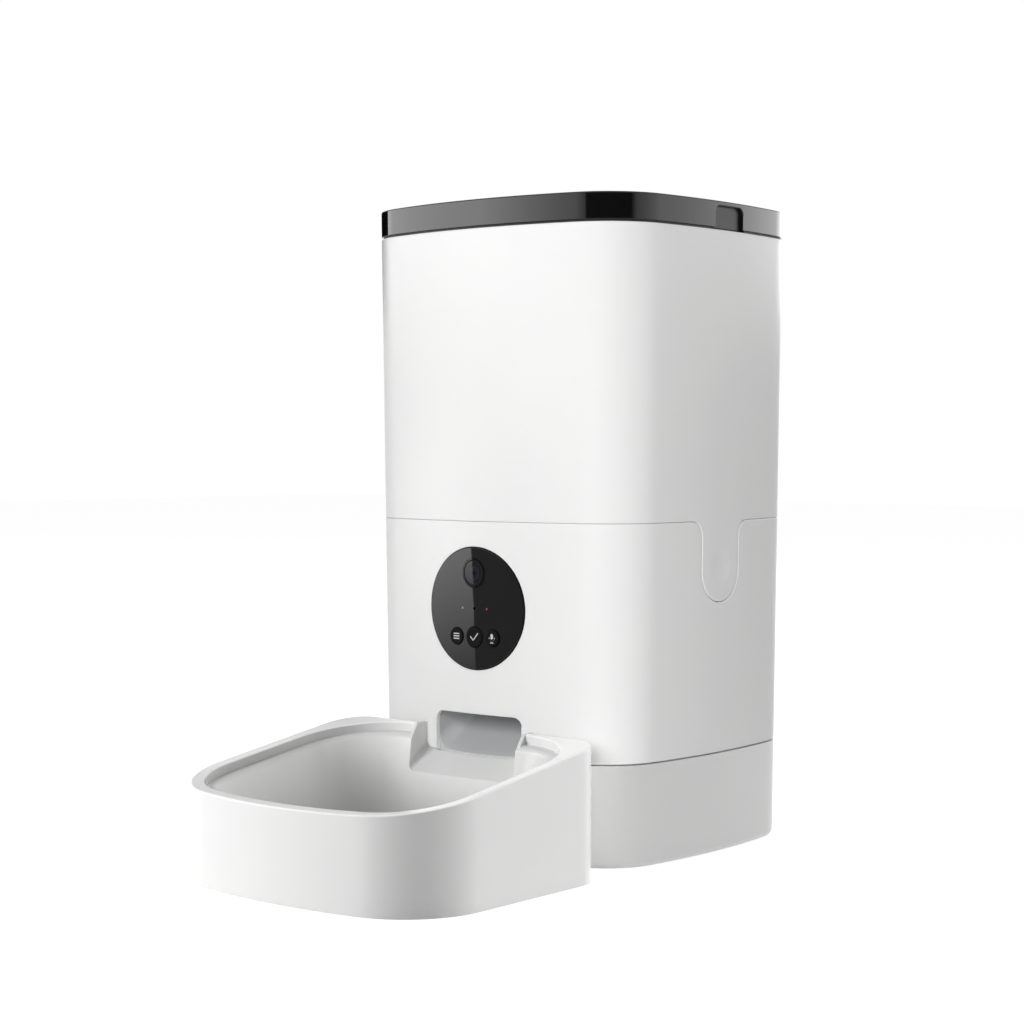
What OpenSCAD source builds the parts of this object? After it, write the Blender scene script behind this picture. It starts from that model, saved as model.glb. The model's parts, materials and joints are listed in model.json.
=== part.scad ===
// Automatic pet feeder with a camera: a tapered, bowed housing in three shells with a lift-off
// hopper and lid, a six-pocket feed rotor with its gear train, and a sliding bowl in front.
// Millimetres, +Z up, front towards -Y, origin on the floor at the centre of the footprint.

/* [Body] */
// Width of the body at its top edge
body_w = 191.4; // [180:0.2:215]
// Depth of the body at its top edge
body_d = 187; // [178:0.5:210]
// Radius of the bowed front and back faces
face_bow_r = 260; // [220:5:400]
// Radius of the bowed side faces
side_bow_r = 386; // [300:5:600]
// Corner radius at the top edge
corner_r = 38.8; // [34:0.2:48]
// Taper of every wall, in degrees from vertical
draft = 0.76; // [0.3:0.02:1]
// Wall thickness of the moulded shells
wall = 2.6; // [2.2:0.1:3.2]
// Height of the rubber feet below the base
foot_h = 1.5; // [1:0.1:3]
// Height of the seam above the base tray
base_seam = 54.4; // [52:0.2:58]
// Height of the seam under the hopper
hopper_seam = 177.4; // [172:0.2:190]
// Overall height
total_h = 345; // [310:1:380]
// Height of the lid above the hopper's top edge
lid_h = 15; // [14:0.5:20]
// Width of the seams between the shells
seam = 0.6; // [0.4:0.1:1]

/* [Bowl] */
// Width of the bowl
bowl_w = 177; // [168:0.5:186]
// Reach of the bowl in front of the body's axis
bowl_reach = 238.5; // [224:0.5:254]
// Gap between the bowl's back and the foot of the body
bowl_gap = 4; // [3.5:0.1:6]
// Radius of the bowed front of the bowl
bowl_nose_r = 290; // [250:5:400]
// Radius of the bowl's front corners
bowl_corner_r = 45; // [36:1:50]
// Radius of the bowl's back corners
bowl_back_r = 19; // [14:0.5:24]
// Radius of the back corners inside the rim
tub_back_r = 40; // [34:1:44]
// Height of the rim at the back
rim_back = 69.6; // [66:0.2:72]
// Height of the rim at the front
rim_front = 46.6; // [42:0.2:52]
// Wall thickness of the bowl and its tray
bowl_wall = 2.4; // [2:0.1:2.8]
// Width of the rim around the tray
rim_w = 7; // [6:0.2:8]
// Width of the rim behind the tray
rim_w_back = 2.6; // [2.6:0.2:5]
// Fall of the rim's top towards the tray
rim_fall = 0.4; // [0.3:0.1:1]
// Depth of the step that the tray's flange sits in
rim_step = 6.8; // [6:0.2:8]
// Width of the spout between its cheeks
spout_w = 72; // [66:0.5:74]
// Length of the spout's ramp
spout_run = 13.7; // [12:0.1:16]
// Drop of the spout's ramp
spout_drop = 11.5; // [9:0.5:13]
// Height of the tray's floor above the ground
tray_floor = 7; // [6:0.5:12]

/* [Camera panel] */
// Radius of the round panel
panel_r = 32.3; // [30:0.1:35]
// Height of the panel's centre
panel_z = 131.7; // [130:0.2:136]
// Height by which the panel stands proud of the housing
panel_proud = 0.6; // [0.3:0.1:1]
// Thickness of the panel
panel_t = 2.2; // [1.8:0.1:2.6]
// Height of the lens above the panel's centre
lens_up = 18.6; // [16:0.2:20]
// Radius of the lens window
lens_r = 7.7; // [6.5:0.1:8.5]
// Distance of the status lights from the microphone hole
light_pitch = 8.4; // [7:0.1:10]
// Radius of the status lights
light_r = 1; // [0.7:0.1:1.4]
// Distance of the buttons below the panel's centre
button_down = 15; // [14:0.2:16]
// Spacing of the buttons
button_pitch = 12.2; // [11.8:0.1:13]
// Radius of the middle button
middle_button_r = 5.6; // [5:0.1:5.8]
// Radius of the outer buttons
side_button_r = 4.6; // [4:0.1:4.8]
// Travel of the buttons
button_travel = 0.8; // [0.4:0.1:1]

/* [Chute] */
// Width of the chute
chute_w = 59; // [54:0.5:62]
// Height of the top of the chute's mouth
chute_top = 76; // [73:0.5:79]
// Corner radius of the mouth
chute_r = 5; // [3:0.5:8]
// Wall thickness of the chute
chute_wall = 2; // [1.6:0.1:2.4]

/* [Release tabs] */
// Width of a release tab
tab_w = 33.5; // [28:0.5:38]
// Height of a tab's round end
tab_bottom = 134.4; // [130:0.2:142]
// Radius of the flare at a tab's root
tab_flare_r = 8.5; // [6:0.5:11]
// Height of the finger dimple
dimple_z = 156.5; // [152:0.5:160]

/* [Feed rotor] */
// Height of the deck that carries the hopper
deck_z = 104; // [102:0.5:106]
// Thickness of the deck
deck_t = 3; // [2.5:0.1:3.5]
// Inner radius of the rotor cup
cup_r = 57; // [52:0.5:58]
// Wall thickness of the rotor cup
cup_wall = 3; // [2.4:0.1:3.4]
// Height of the rotor cup
cup_h = 45; // [42:0.5:50]
// Height of the paddles
paddle_h = 28; // [22:0.5:30]
// Thickness of the paddles
paddle_t = 2.4; // [1.8:0.1:3]
// Number of paddles
paddle_count = 6; // [4:1:8]
// Radius of the rotor's hub
hub_r = 14; // [12:0.5:16]

/* [Gear train] */
// Module of the output gear and the idler's small gear
coarse_module = 1; // [1:0.02:1.04]
// Module of the idler's large gear and the motor's pinion
fine_module = 0.8; // [0.76:0.02:0.82]
// Teeth of the output gear
output_teeth = 30; // [30]
// Teeth of the idler's small gear
idler_small_teeth = 12; // [12]
// Teeth of the idler's large gear
idler_large_teeth = 36; // [36]
// Teeth of the motor's pinion
pinion_teeth = 12; // [12]
// Radius of the motor's can
motor_r = 12; // [11:0.2:13]
// Length of the motor's can
motor_l = 30; // [26:0.5:31]

/* [Lid] */
// Width of the finger notches at their lower edge
notch_w = 26; // [20:0.5:34]
// Height of the finger notches
notch_h = 11.5; // [9:0.5:12]
// Depth of the finger notches
notch_depth = 3.4; // [2.6:0.1:4]
// Distance of the notches behind the body's axis
notch_y = 4; // [0:0.5:8]
// Radius of the desiccant box
desiccant_r = 30; // [26:0.5:36]
// Height of the desiccant box
desiccant_h = 16; // [14:0.5:20]

/* [Battery] */
// Diameter of a battery cell
cell_d = 34.2; // [33:0.1:34.6]
// Length of a battery cell
cell_l = 61.5; // [60:0.5:63]
// Number of cells
cell_count = 3; // [3]

/* [Fits] */
// Gap between pieces that slide or turn past each other
clear = 0.3; // [0.25:0.05:0.4]
// Gap around a shaft in its bearing
bearing = 0.12; // [0.08:0.02:0.16]

/* [Hidden] */
$fn = 48;

white_abs = "white";
smoked_black = "#2b2b2e";
gloss_black = "#141416";
silicone = "#d9dde0";
board_green = "#1f6b3a";
zinc_steel = "#b9bcc0";
acetal = "#ece7d8";

// Facets on a quarter of the body's outline: face, corner and side
face_steps = 7;
corner_steps = 7;
side_steps = 4;
// A length that reaches past any wall in a cut
far = 400;
// Overshoot of a cut past a face
over = 1;

// Body outline: bowed faces and sides joined by tangent corner arcs
half_w = body_w / 2;
half_d = body_d / 2;
taper = tan(draft);
axis_y = (bowl_reach - half_d) / 2;

hopper_top = total_h - lid_h;

function lean(z) = taper * (total_h - z);
function front_y(z) = lean(z) - half_d;
function side_x(z) = half_w - lean(z);

function direction(v) = atan2(v.y, v.x);

// Where circles of radius a about p and b about q cross, on the left of the way from p to q
function circles_meet(p, a, q, b) =
    let (gap = norm(q - p), u = (q - p) / gap, along = (a * a - b * b + gap * gap) / (2 * gap))
    p + along * u + sqrt(a * a - along * along) * [-u.y, u.x];

function arc(centre, r, from, to, steps) =
    [for (i = [0 : steps - 1]) let (a = from + (to - from) * i / steps) centre + r * [cos(a), sin(a)]];

face_centre = [0, face_bow_r - half_d];
side_centre = [half_w - side_bow_r, 0];
corner_centre = circles_meet(face_centre, face_bow_r - corner_r, side_centre, side_bow_r - corner_r);
face_turn = direction(corner_centre - face_centre);
side_turn = direction(corner_centre - side_centre);

function quarter(inset) = concat(
    arc(face_centre, face_bow_r - inset, -90, face_turn, face_steps),
    arc(corner_centre, corner_r - inset, face_turn, side_turn, corner_steps),
    arc(side_centre, side_bow_r - inset, side_turn, 0, side_steps),
    [[half_w - inset, 0]]);

function outline(inset) =
    let (q = quarter(inset), last = len(q) - 1)
    concat([for (i = [0 : last - 1]) q[i]],
        [for (i = [last : -1 : 1]) [q[i].x, -q[i].y]],
        [for (i = [0 : last - 1]) -q[i]],
        [for (i = [last : -1 : 1]) [-q[i].x, q[i].y]]);

function level(points, z) = [for (p = points) [p.x, p.y, z]];
function body_ring(z, inset) = level(outline(inset + lean(z)), z);

// A closed solid through rings of equal count, from the lowest ring to the highest
module skin(rings) {
    n = len(rings[0]);
    last = len(rings) - 1;
    sides = [for (k = [0 : last - 1], i = [0 : n - 1], half = [0, 1])
        let (a = k * n + i, b = k * n + (i + 1) % n)
        half == 0 ? [a, a + n, b + n] : [a, b + n, b]];
    polyhedron(points = [for (r = rings) each r],
        faces = concat([[for (i = [0 : n - 1]) i]], sides, [[for (i = [n - 1 : -1 : 0]) last * n + i]]));
}

// A solid of the body's section, through [height, inset] levels
module body_solid(levels) skin([for (l = levels) body_ring(l[0], l[1])]);

// A wall of the body's section between two insets
module body_wall(low, high, outer, inner) difference() {
    body_solid([[low, outer], [high, outer]]);
    body_solid([[low - over, inner], [high + over, inner]]);
}

module on_axis() translate([0, axis_y, 0]) children();
module mirrored_x() for (s = [0, 1]) mirror([s, 0, 0]) children();
module four_corners(p) for (sx = [-1, 1], sy = [-1, 1]) translate([sx * p.x, sy * p.y, 0]) children();

// A cylinder along Y from y0 to y1 at [x, z]
module rod_y(r, y0, y1, at = [0, 0])
    translate([at.x, y0, at.y]) rotate([-90, 0, 0]) cylinder(r = r, h = y1 - y0);
// A cylinder between two heights at [x, y]
module rod_z(r, z0, z1, at = [0, 0]) translate([at.x, at.y, z0]) cylinder(r = r, h = z1 - z0);
// A profile drawn in [y, z] and extruded along X from x0 to x1
module along_x(x0, x1) translate([x0, 0, 0]) rotate([90, 0, 90]) linear_extrude(x1 - x0) children();
// A profile drawn in [x, z] and extruded along Y from y0 to y1
module along_y(y0, y1) translate([0, y1, 0]) rotate([90, 0, 0]) linear_extrude(y1 - y0) children();
module block(low, high) translate(low) cube(high - low);
// A pan-head screw pointing up from its head at z
module screw(r, head_r, head_h, length) {
    rod_z(head_r, -head_h, 0);
    rod_z(r, -over / 4, length);
}

// Base tray, feet and the screws that hold the housing on it
lip_t = 1.8;
lip_h = 5;
floor_top = foot_h + wall;
corner_edge = 1.6;
boss_r = 5;
boss_h = 16;
pilot_r = 1.55;
screw_r = 1.5;
screw_head_r = 2.8;
screw_head_h = 2;
screw_bore_r = screw_r + 0.2;
head_bore_r = screw_head_r + clear;
head_seat = base_seam - 12;
base_screw_l = 18;
corner_reach = (corner_r - lean(base_seam) - wall - boss_r + 1) * sqrt(0.5);
boss_at = [corner_centre.x + corner_reach, -corner_centre.y + corner_reach];
foot_r = 8;
foot_recess = 1;
foot_edge = 0.8;
foot_at = [boss_at.x - 13, boss_at.y - 4];

// Battery box under the floor's hatch
box_wall = 2;
cell_gap = 0.5;
bay = [cell_count * (cell_d + cell_gap), cell_l + 4, cell_d + 2];
box_low = [-bay.x / 2 - box_wall, -bay.y / 2 - box_wall, floor_top];
box_high = [bay.x / 2 + box_wall, bay.y / 2 + box_wall, floor_top + bay.z + box_wall];
door_gap = 0.4;
knuckle_r = wall / 2;
knuckle_y = knuckle_r - bay.y / 2 + door_gap;
knuckle_z = foot_h + knuckle_r;

// Tongue of the bowl in its slot in the base's front
tongue_w = 44;
tongue_z = 10;
tongue_t = 4;
tongue_depth = 7;

// Power inlet in the back of the base
inlet_at = [40, 24];
inlet_size = [11, 15, 6];
inlet_slot = [9, 3.2];
function back_y(z, x) = -front_y(z) - (face_bow_r - sqrt(face_bow_r * face_bow_r - x * x));
inlet_back = back_y(inlet_at.y, inlet_at.x) - 1;

module slot_profile(w, h) {
    square([w - h, h], center = true);
    for (s = [-1, 1]) translate([s * (w - h) / 2, 0]) circle(h / 2);
}

module base_tray() color(white_abs) on_axis() {
    difference() {
        union() {
            difference() {
                body_solid([[foot_h, corner_edge], [foot_h + corner_edge, 0], [base_seam - seam / 2, 0]]);
                body_solid([[floor_top, wall], [base_seam + over, wall]]);
            }
            difference() {
                union() {
                    body_wall(base_seam - lip_h, base_seam + lip_h, wall + clear, wall + clear + lip_t);
                    body_wall(base_seam - 2 * lip_h, base_seam - lip_h / 2, wall / 2, wall + lip_t);
                }
                block([-chute_w / 2 - 2 * chute_wall, -far, 0], [chute_w / 2 + 2 * chute_wall, 0, far]);
                four_corners(boss_at) rod_z(boss_r + clear, base_seam - seam, far);
            }
            four_corners(boss_at) rod_z(boss_r, foot_h + wall / 2, base_seam);
        }
        four_corners(boss_at) {
            rod_z(head_bore_r, -over, head_seat);
            rod_z(screw_bore_r, 0, base_seam + over);
        }
        four_corners(foot_at) rod_z(foot_r + clear / 2, 0, foot_h + foot_recess);
        block([-bay.x / 2, -bay.y / 2, 0], [bay.x / 2, bay.y / 2, floor_top + over]);
        block([-tongue_w / 2 - clear, -far, tongue_z - clear],
            [tongue_w / 2 + clear, front_y(0) + wall + 2 * over, tongue_z + tongue_t + clear]);
        along_y(inlet_back - inlet_size.y - over, far)
            translate(inlet_at) slot_profile(inlet_size.x + clear, inlet_size.z + clear);
    }
}

module base_feet() color("#3a3a3c") on_axis() four_corners(foot_at) {
    top = foot_h + foot_recess;
    rotate_extrude()
        polygon([[0, 0], [foot_r - foot_edge, 0], [foot_r, foot_edge], [foot_r, top], [0, top]]);
}

module base_screws() color(zinc_steel) on_axis()
    four_corners(boss_at) translate([0, 0, head_seat])
        screw(screw_r, screw_head_r, screw_head_h, base_screw_l);

module battery_box() color(white_abs) on_axis() difference() {
    union() {
        block(box_low, box_high);
        block([box_low.x - 5, box_low.y, floor_top], [box_high.x + 5, box_high.y, floor_top + 2]);
    }
    for (i = [0 : cell_count - 1])
        translate([(i - (cell_count - 1) / 2) * (cell_d + cell_gap), 0, 0])
            rod_y(cell_d / 2 + cell_gap / 2, -bay.y / 2, bay.y / 2, [0, floor_top + bay.z - cell_d / 2]);
    block([-bay.x / 2, -bay.y / 2, 0], [bay.x / 2, bay.y / 2, floor_top + bay.z - cell_d / 2]);
}

// A leaf and a domed stud at each end of every cell
module battery_contacts() color(zinc_steel) on_axis() {
    leaf = [14, 0.5, 16];
    stud_r = 4;
    stud_tip_r = 2;
    stud_h = 1;
    mid_z = floor_top + bay.z - cell_d / 2;
    for (i = [0 : cell_count - 1], s = [-1, 1]) {
        x = (i - (cell_count - 1) / 2) * (cell_d + cell_gap);
        end_y = s * (bay.y / 2 - leaf.y / 2);
        translate([x, end_y, mid_z]) cube(leaf, center = true);
        translate([x, s * (bay.y / 2 - leaf.y), mid_z]) rotate([s * 90, 0, 0])
            cylinder(r1 = stud_r, r2 = stud_tip_r, h = stud_h);
    }
}

// Hatch that turns about a knuckle along its front edge
module battery_door() color(white_abs) on_axis() {
    high_y = bay.y / 2 - door_gap;
    half = bay.x / 2 - door_gap;
    difference() {
        union() {
            block([-half, knuckle_y, foot_h], [half, high_y, floor_top]);
            along_x(-half, half) translate([knuckle_y, knuckle_z]) circle(knuckle_r);
        }
        translate([0, high_y - 9, foot_h]) scale([1, 1, 0.25]) sphere(5);
    }
}

module power_inlet() color("#4a4a4d") on_axis() difference() {
    along_y(inlet_back - inlet_size.y, inlet_back)
        translate(inlet_at) slot_profile(inlet_size.x, inlet_size.z);
    along_y(inlet_back - inlet_size.y + 4, inlet_back + over)
        translate(inlet_at) slot_profile(inlet_slot.x, inlet_slot.y);
}

// Middle housing: chute mouth, panel hole, tab notches, ledge for the deck and posts for the board
board_setback = 10.5;
board_t = 1.6;
board_y = front_y(panel_z) + board_setback;
board_half = 35;
board_low = deck_z + deck_t + over;
board_high = panel_z + 29;
post_r = 3;
post_at = [panel_r - 1.3, 20];
board_screw_r = 1.1;
board_pilot_r = board_screw_r + 0.05;
board_bore_r = board_screw_r + 0.2;
small_head_r = 2.1;
small_head_h = 1.4;
ledge_w = 6;
ledge_h = 4;
ledge_root = 0.5;
deck_screw_at = [side_x(deck_z) - wall - ledge_w / 2 - 1.4, 30];
pocket_depth = 3.6;
pocket_wall = 1.8;
pocket_rim = 5;
panel_gap = 0.25;
grille_r = 17;
grille_z = 81;

module at_posts() for (sx = [-1, 1], sz = [-1, 1])
    translate([sx * post_at.x, 0, panel_z + sz * post_at.y]) children();

// The chute's mouth: square below, rounded above
module mouth_profile(low) {
    translate([-chute_w / 2, low]) square([chute_w, chute_top - chute_r - low]);
    translate([chute_r - chute_w / 2, low]) square([chute_w - 2 * chute_r, chute_top - low]);
    for (s = [-1, 1]) translate([s * (chute_w / 2 - chute_r), chute_top - chute_r]) circle(chute_r);
}

// A round-ended tab that flares into the hopper's edge, grown by a margin
module tab_profile(grow, high) {
    r = tab_w / 2 + grow;
    end_z = tab_bottom + tab_w / 2;
    flare = [tab_w / 2 + tab_flare_r, hopper_seam - tab_flare_r];
    translate([0, end_z]) circle(r);
    translate([-r, end_z]) square([2 * r, high - end_z]);
    for (s = [0, 1]) mirror([s, 0]) difference() {
        translate([0, flare.y]) square([flare.x - 1.5, high - flare.y]);
        translate(flare) circle(tab_flare_r - grow);
    }
}

module tab_pocket() {
    half = tab_w / 2 + pocket_rim;
    low = tab_bottom - pocket_rim;
    high = hopper_seam - tab_flare_r;
    in_x = side_x(low) - wall - pocket_depth;
    intersection() {
        difference() {
            block([in_x - pocket_wall, -half, low], [far, half, high]);
            block([in_x, pocket_wall - half, low + pocket_wall], [far, half - pocket_wall, high + over]);
        }
        body_solid([[low - over, wall / 2], [high + over, wall / 2]]);
    }
}

module mid_housing() color(white_abs) on_axis() {
    low = base_seam + seam / 2;
    high = hopper_seam - seam / 2;
    difference() {
        union() {
            difference() {
                body_wall(low, high, 0, wall);
                along_y(-far, 0) mouth_profile(base_seam - over);
                rod_y(panel_r + panel_gap, -far, 0, [0, panel_z]);
                rod_y(grille_r + panel_gap, 0, far, [0, grille_z]);
                along_x(-far, far) tab_profile(seam / 2, high + over);
            }
            body_wall(deck_z - ledge_h, deck_z, wall - ledge_root, wall + ledge_w);
            mirrored_x() tab_pocket();
            intersection() {
                body_solid([[low, wall / 2], [high, wall / 2]]);
                union() {
                    four_corners(boss_at) rod_z(boss_r, base_seam, base_seam + boss_h);
                    at_posts() rod_y(post_r, front_y(0), board_y);
                }
            }
        }
        four_corners(boss_at) rod_z(pilot_r, 0, base_seam + boss_h - 3);
        four_corners(deck_screw_at) rod_z(board_pilot_r, deck_z - ledge_h - over, deck_z + over);
        at_posts() rod_y(board_pilot_r, board_y - 4.5, board_y + over);
    }
}

// Deck: carries the hopper, passes the drive shaft and opens into the chute
outlet_in = 24;
outlet_out = cup_r - 2;
outlet_half = 26;
shaft_r = 4;
deck_top = deck_z + deck_t;
standoff_r = 3.5;
standoff_in = 5;
control_size = [50, 54];
control_high = [side_x(deck_z) - 15.5, 46];
control_low = control_high - control_size;
control_top = deck_z - 6;

// A ring sector about the axis, open towards the front
module front_sector(inner, outer, half, z0, z1)
    rotate([0, 0, -90 - half]) translate([0, 0, z0]) rotate_extrude(angle = 2 * half)
        translate([inner, 0]) square([outer - inner, z1 - z0]);

module at_standoffs() for (x = [control_low.x, control_high.x - 2 * standoff_in],
    y = [control_low.y, control_high.y - 2 * standoff_in])
    translate([x + standoff_in, y + standoff_in, 0]) children();

module deck() color(white_abs) on_axis() difference() {
    union() {
        body_solid([[deck_z, wall + clear], [deck_top, wall + clear]]);
        at_standoffs() rod_z(standoff_r, control_top, deck_z + over);
    }
    rod_z(shaft_r + over, deck_z - over, deck_top + over);
    front_sector(outlet_in - over, outlet_out + over, outlet_half + over, deck_z - over, deck_top + over);
    four_corners(deck_screw_at) rod_z(board_bore_r, deck_z - over, deck_top + over);
    at_standoffs() rod_z(board_pilot_r, control_top - over, deck_z);
}

module deck_screws() color(zinc_steel) on_axis() {
    four_corners(deck_screw_at) translate([0, 0, deck_top]) mirror([0, 0, 1])
        screw(board_screw_r, small_head_r, small_head_h, deck_t + ledge_h - over);
    at_standoffs() translate([0, 0, control_top - board_t])
        screw(board_screw_r, small_head_r, small_head_h, board_t + 5);
}

module control_board() color(board_green) on_axis() {
    low = control_top - board_t;
    difference() {
        block([control_low.x, control_low.y, low], [control_high.x, control_high.y, control_top]);
        at_standoffs() rod_z(board_bore_r, low - over, control_top + over);
    }
    // Radio module, capacitors and plug sockets on the underside
    radio = [16, 18, 3];
    can_r = 4;
    can_h = 11;
    socket = [8, 5, 7];
    block([control_low.x + 17, control_low.y + 20, low - radio.z],
        [control_low.x + 17 + radio.x, control_low.y + 20 + radio.y, low]);
    for (y = [22, 33]) rod_z(can_r, low - can_h, low, [control_high.x - 7, control_low.y + y]);
    for (x = [8, 19, 30]) translate([control_low.x + x, control_low.y + 1, low - socket.z]) cube(socket);
}

// Chute: a sloping duct from the deck's outlet to the mouth
slide_back = 2 - outlet_in;
slide_top = deck_z - 6;
slide_front = front_y(base_seam) + wall;
duct_front = -outlet_out - 3;
duct_knee = deck_z - 8;
knee_y = slide_front + 6;
slide_angle = atan((slide_top - base_seam) / (slide_back - slide_front));

// The duct's section in [y, z], grown by a wall
function duct(t) = let (drop = t / cos(slide_angle)) [
    [-half_d, base_seam - drop - (half_d + slide_front) * tan(slide_angle)],
    [slide_back + t, slide_top - drop + t * tan(slide_angle)],
    [slide_back + t, deck_z], [duct_front - t, deck_z], [duct_front - t, duct_knee],
    [knee_y, chute_top + t], [-half_d, chute_top + t]];

module chute() color(white_abs) on_axis() intersection() {
    difference() {
        along_x(-chute_w / 2 - chute_wall, chute_w / 2 + chute_wall) polygon(duct(chute_wall));
        along_x(-chute_w / 2, chute_w / 2) polygon(duct(0));
        block([-chute_w / 2, duct_front, deck_z - 2], [chute_w / 2, slide_back, deck_z + over]);
    }
    body_solid([[base_seam - 8, wall + clear], [deck_z, wall + clear]]);
}

// Round camera panel, flush with the bowed front, and what sits behind it
lens_z = panel_z + lens_up;
button_z = panel_z - button_down;
button_gap = 0.2;
button_proud = 0.5;
button_edge = 0.5;
button_collar = 0.9;
switch_size = [6, 3.4, 6];
window_t = 1.4;
mic_hole_r = 0.8;
button_x = [-button_pitch, 0, button_pitch];
button_r = [side_button_r, middle_button_r, side_button_r];

module camera_panel() color(gloss_black) on_axis() difference() {
    intersection() {
        body_wall(panel_z - panel_r - over, panel_z + panel_r + over, -panel_proud, panel_t - panel_proud);
        rod_y(panel_r, -far, 0, [0, panel_z]);
    }
    rod_y(lens_r + button_gap, -far, 0, [0, lens_z]);
    for (s = [-1, 1]) rod_y(light_r + button_gap / 2, -far, 0, [s * light_pitch, panel_z]);
    rod_y(mic_hole_r, -far, 0, [0, panel_z]);
    for (i = [0 : 2]) rod_y(button_r[i] + button_gap, -far, 0, [button_x[i], button_z]);
}

module lens_window() color("#22262c") on_axis() {
    y = front_y(lens_z) - panel_proud;
    rod_y(lens_r, y, y + window_t, [0, lens_z]);
}

module lens_barrel() color("#1c1c1e") on_axis() {
    y = front_y(lens_z) - panel_proud + window_t;
    difference() {
        union() {
            rod_y(lens_r - 1.2, y + clear, y + 5, [0, lens_z]);
            block([-lens_r, y + 4, lens_z - lens_r], [lens_r, board_y, lens_z + lens_r]);
        }
        translate([0, y + clear - over / 4, lens_z]) rotate([-90, 0, 0])
            cylinder(r1 = lens_r - 2.4, r2 = lens_r - 5, h = 2.5);
    }
}

module front_board() color(board_green) on_axis() difference() {
    block([-board_half, board_y, board_low], [board_half, board_y + board_t, board_high]);
    at_posts() rod_y(board_bore_r, board_y - over, board_y + board_t + over);
}

module board_screws() color(zinc_steel) on_axis()
    at_posts() translate([0, board_y + board_t, 0]) rotate([90, 0, 0])
        screw(board_screw_r, small_head_r, small_head_h, board_t + 4);

module button_switches() color("#55565a") on_axis()
    for (x = button_x) {
        half = switch_size.x / 2;
        block([x - half, board_y - switch_size.y, button_z - half], [x + half, board_y, button_z + half]);
    }

// Key cap with a collar behind the panel and a stem that stops short of its switch
module push_button(i) {
    y = front_y(button_z) - panel_proud - button_proud;
    skin_y = y + button_proud + panel_t + button_travel / 4;
    stem_y = board_y - switch_size.y - button_travel - 0.1;
    color(gloss_black) on_axis() translate([button_x[i], 0, button_z]) {
        translate([0, y, 0]) rotate([-90, 0, 0]) rotate_extrude()
            polygon([[0, 0], [button_r[i] - button_edge, 0], [button_r[i], button_edge],
                [button_r[i], skin_y - y], [0, skin_y - y]]);
        rod_y(button_r[i] - button_collar, skin_y - over / 2, stem_y);
    }
}

module left_button() push_button(0);
module middle_button() push_button(1);
module right_button() push_button(2);

module light_pipe(x) {
    y = front_y(panel_z) - panel_proud;
    rod_y(light_r, y, y + panel_t + over, [x, panel_z]);
    rod_y(2 * light_r, y + panel_t + over / 2, board_y, [x, panel_z]);
}

module blue_light() color("#2f7fe0") on_axis() light_pipe(-light_pitch);
module red_light() color("#e02f3a") on_axis() light_pipe(light_pitch);

module microphone() color("#77797d") on_axis() rod_y(3, board_y - 2.7, board_y, [0, panel_z]);

// Speaker and its perforated grille in the back of the housing
speaker_r = 15.5;
speaker_back = -front_y(grille_z) - wall - 0.6;
speaker_l = 9;
cone_r = 11;
cone_h = 3;
rim_l = 2;
basket_l = 5;
magnet_r = 9;
hole_pitch = 5;
hole_r = 1.3;

module speaker() color("#3b3c40") on_axis() translate([0, speaker_back, grille_z]) rotate([90, 0, 0])
    rotate_extrude() polygon([[0, cone_h], [cone_r / 2, cone_h - 0.5], [cone_r, 0.6], [speaker_r, 0],
        [speaker_r, rim_l], [magnet_r + 1, basket_l], [magnet_r, speaker_l], [0, speaker_l]]);

module speaker_grille() color(white_abs) on_axis() difference() {
    intersection() {
        body_wall(grille_z - grille_r - over, grille_z + grille_r + over, 0.2, wall);
        rod_y(grille_r, 0, far, [0, grille_z]);
    }
    for (row = [-2 : 2], i = [0 : 4 - abs(row)]) {
        x = (i - (4 - abs(row)) / 2) * hole_pitch;
        rod_y(hole_r, 0, far, [x, grille_z + row * hole_pitch * sqrt(0.75)]);
    }
}

// Gear train: motor pinion, two-step idler and output gear in a case under the deck
idler_y = coarse_module * (output_teeth + idler_small_teeth) / 2;
motor_y = idler_y + fine_module * (idler_large_teeth + pinion_teeth) / 2;
case_r = 20;
case_wall = 2;
case_top_t = 2.5;
cover_t = 2.5;
cover_top = deck_z - 22;
cover_low = cover_top - cover_t;
ear_r = 4;
ear_x = case_r + 2;
ear_y = [8, motor_y - 8];
idler_pin_r = 2;
motor_shaft_r = 1;
shaft_depth = 11;
case_screw_l = 14;
motor_boss_r = 3;
motor_boss_h = 2;
motor_low = cover_low - motor_l;
terminal = [0.8, 3, 8];
terminal_x = 8;
journal_r = 3;
dog_r = 6;
dog_h = 8;
large_z = cover_top + 1.5;
large_t = 4.5;
small_top = cover_top + 16.5;
output_z = cover_top + 10;
output_t = 6;
addendum = 0.78;
dedendum = 1.2;
pressure_angle = 20;
backlash = 0.1;
cup_floor = deck_top + 2.5;
hub_low = cup_floor + clear;
degree = PI / 180;

// Roll angle and involute angle of a flank at radius r on base circle rb
function roll(r, rb) = sqrt(max(r * r / (rb * rb) - 1, 0));
function involute(r, rb) = roll(r, rb) / degree - atan(roll(r, rb));

// One tooth's points, from its root on the right to its root on the left
function tooth(teeth, m, at) =
    let (pitch_r = teeth * m / 2, base_r = pitch_r * cos(pressure_angle),
        root_r = pitch_r - dedendum * m, tip_r = pitch_r + addendum * m,
        half = 90 / teeth - backlash / pitch_r / degree + involute(pitch_r, base_r),
        flank = [for (r = [max(base_r, root_r), (base_r + tip_r) / 2, tip_r])
            [r, half - involute(r, base_r)]],
        right = concat([[root_r, flank[0][1]]], flank),
        polar = concat([for (p = right) [p[0], -p[1]]], [for (i = [3 : -1 : 0]) right[i]]))
    [for (p = polar) p[0] * [cos(at + p[1]), sin(at + p[1])]];

// A spur gear with a tooth at the given angle
module gear(teeth, m, z0, z1, first = 0) translate([0, 0, z0]) linear_extrude(z1 - z0)
    polygon([for (i = [0 : teeth - 1]) each tooth(teeth, m, first + i * 360 / teeth)]);

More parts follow.
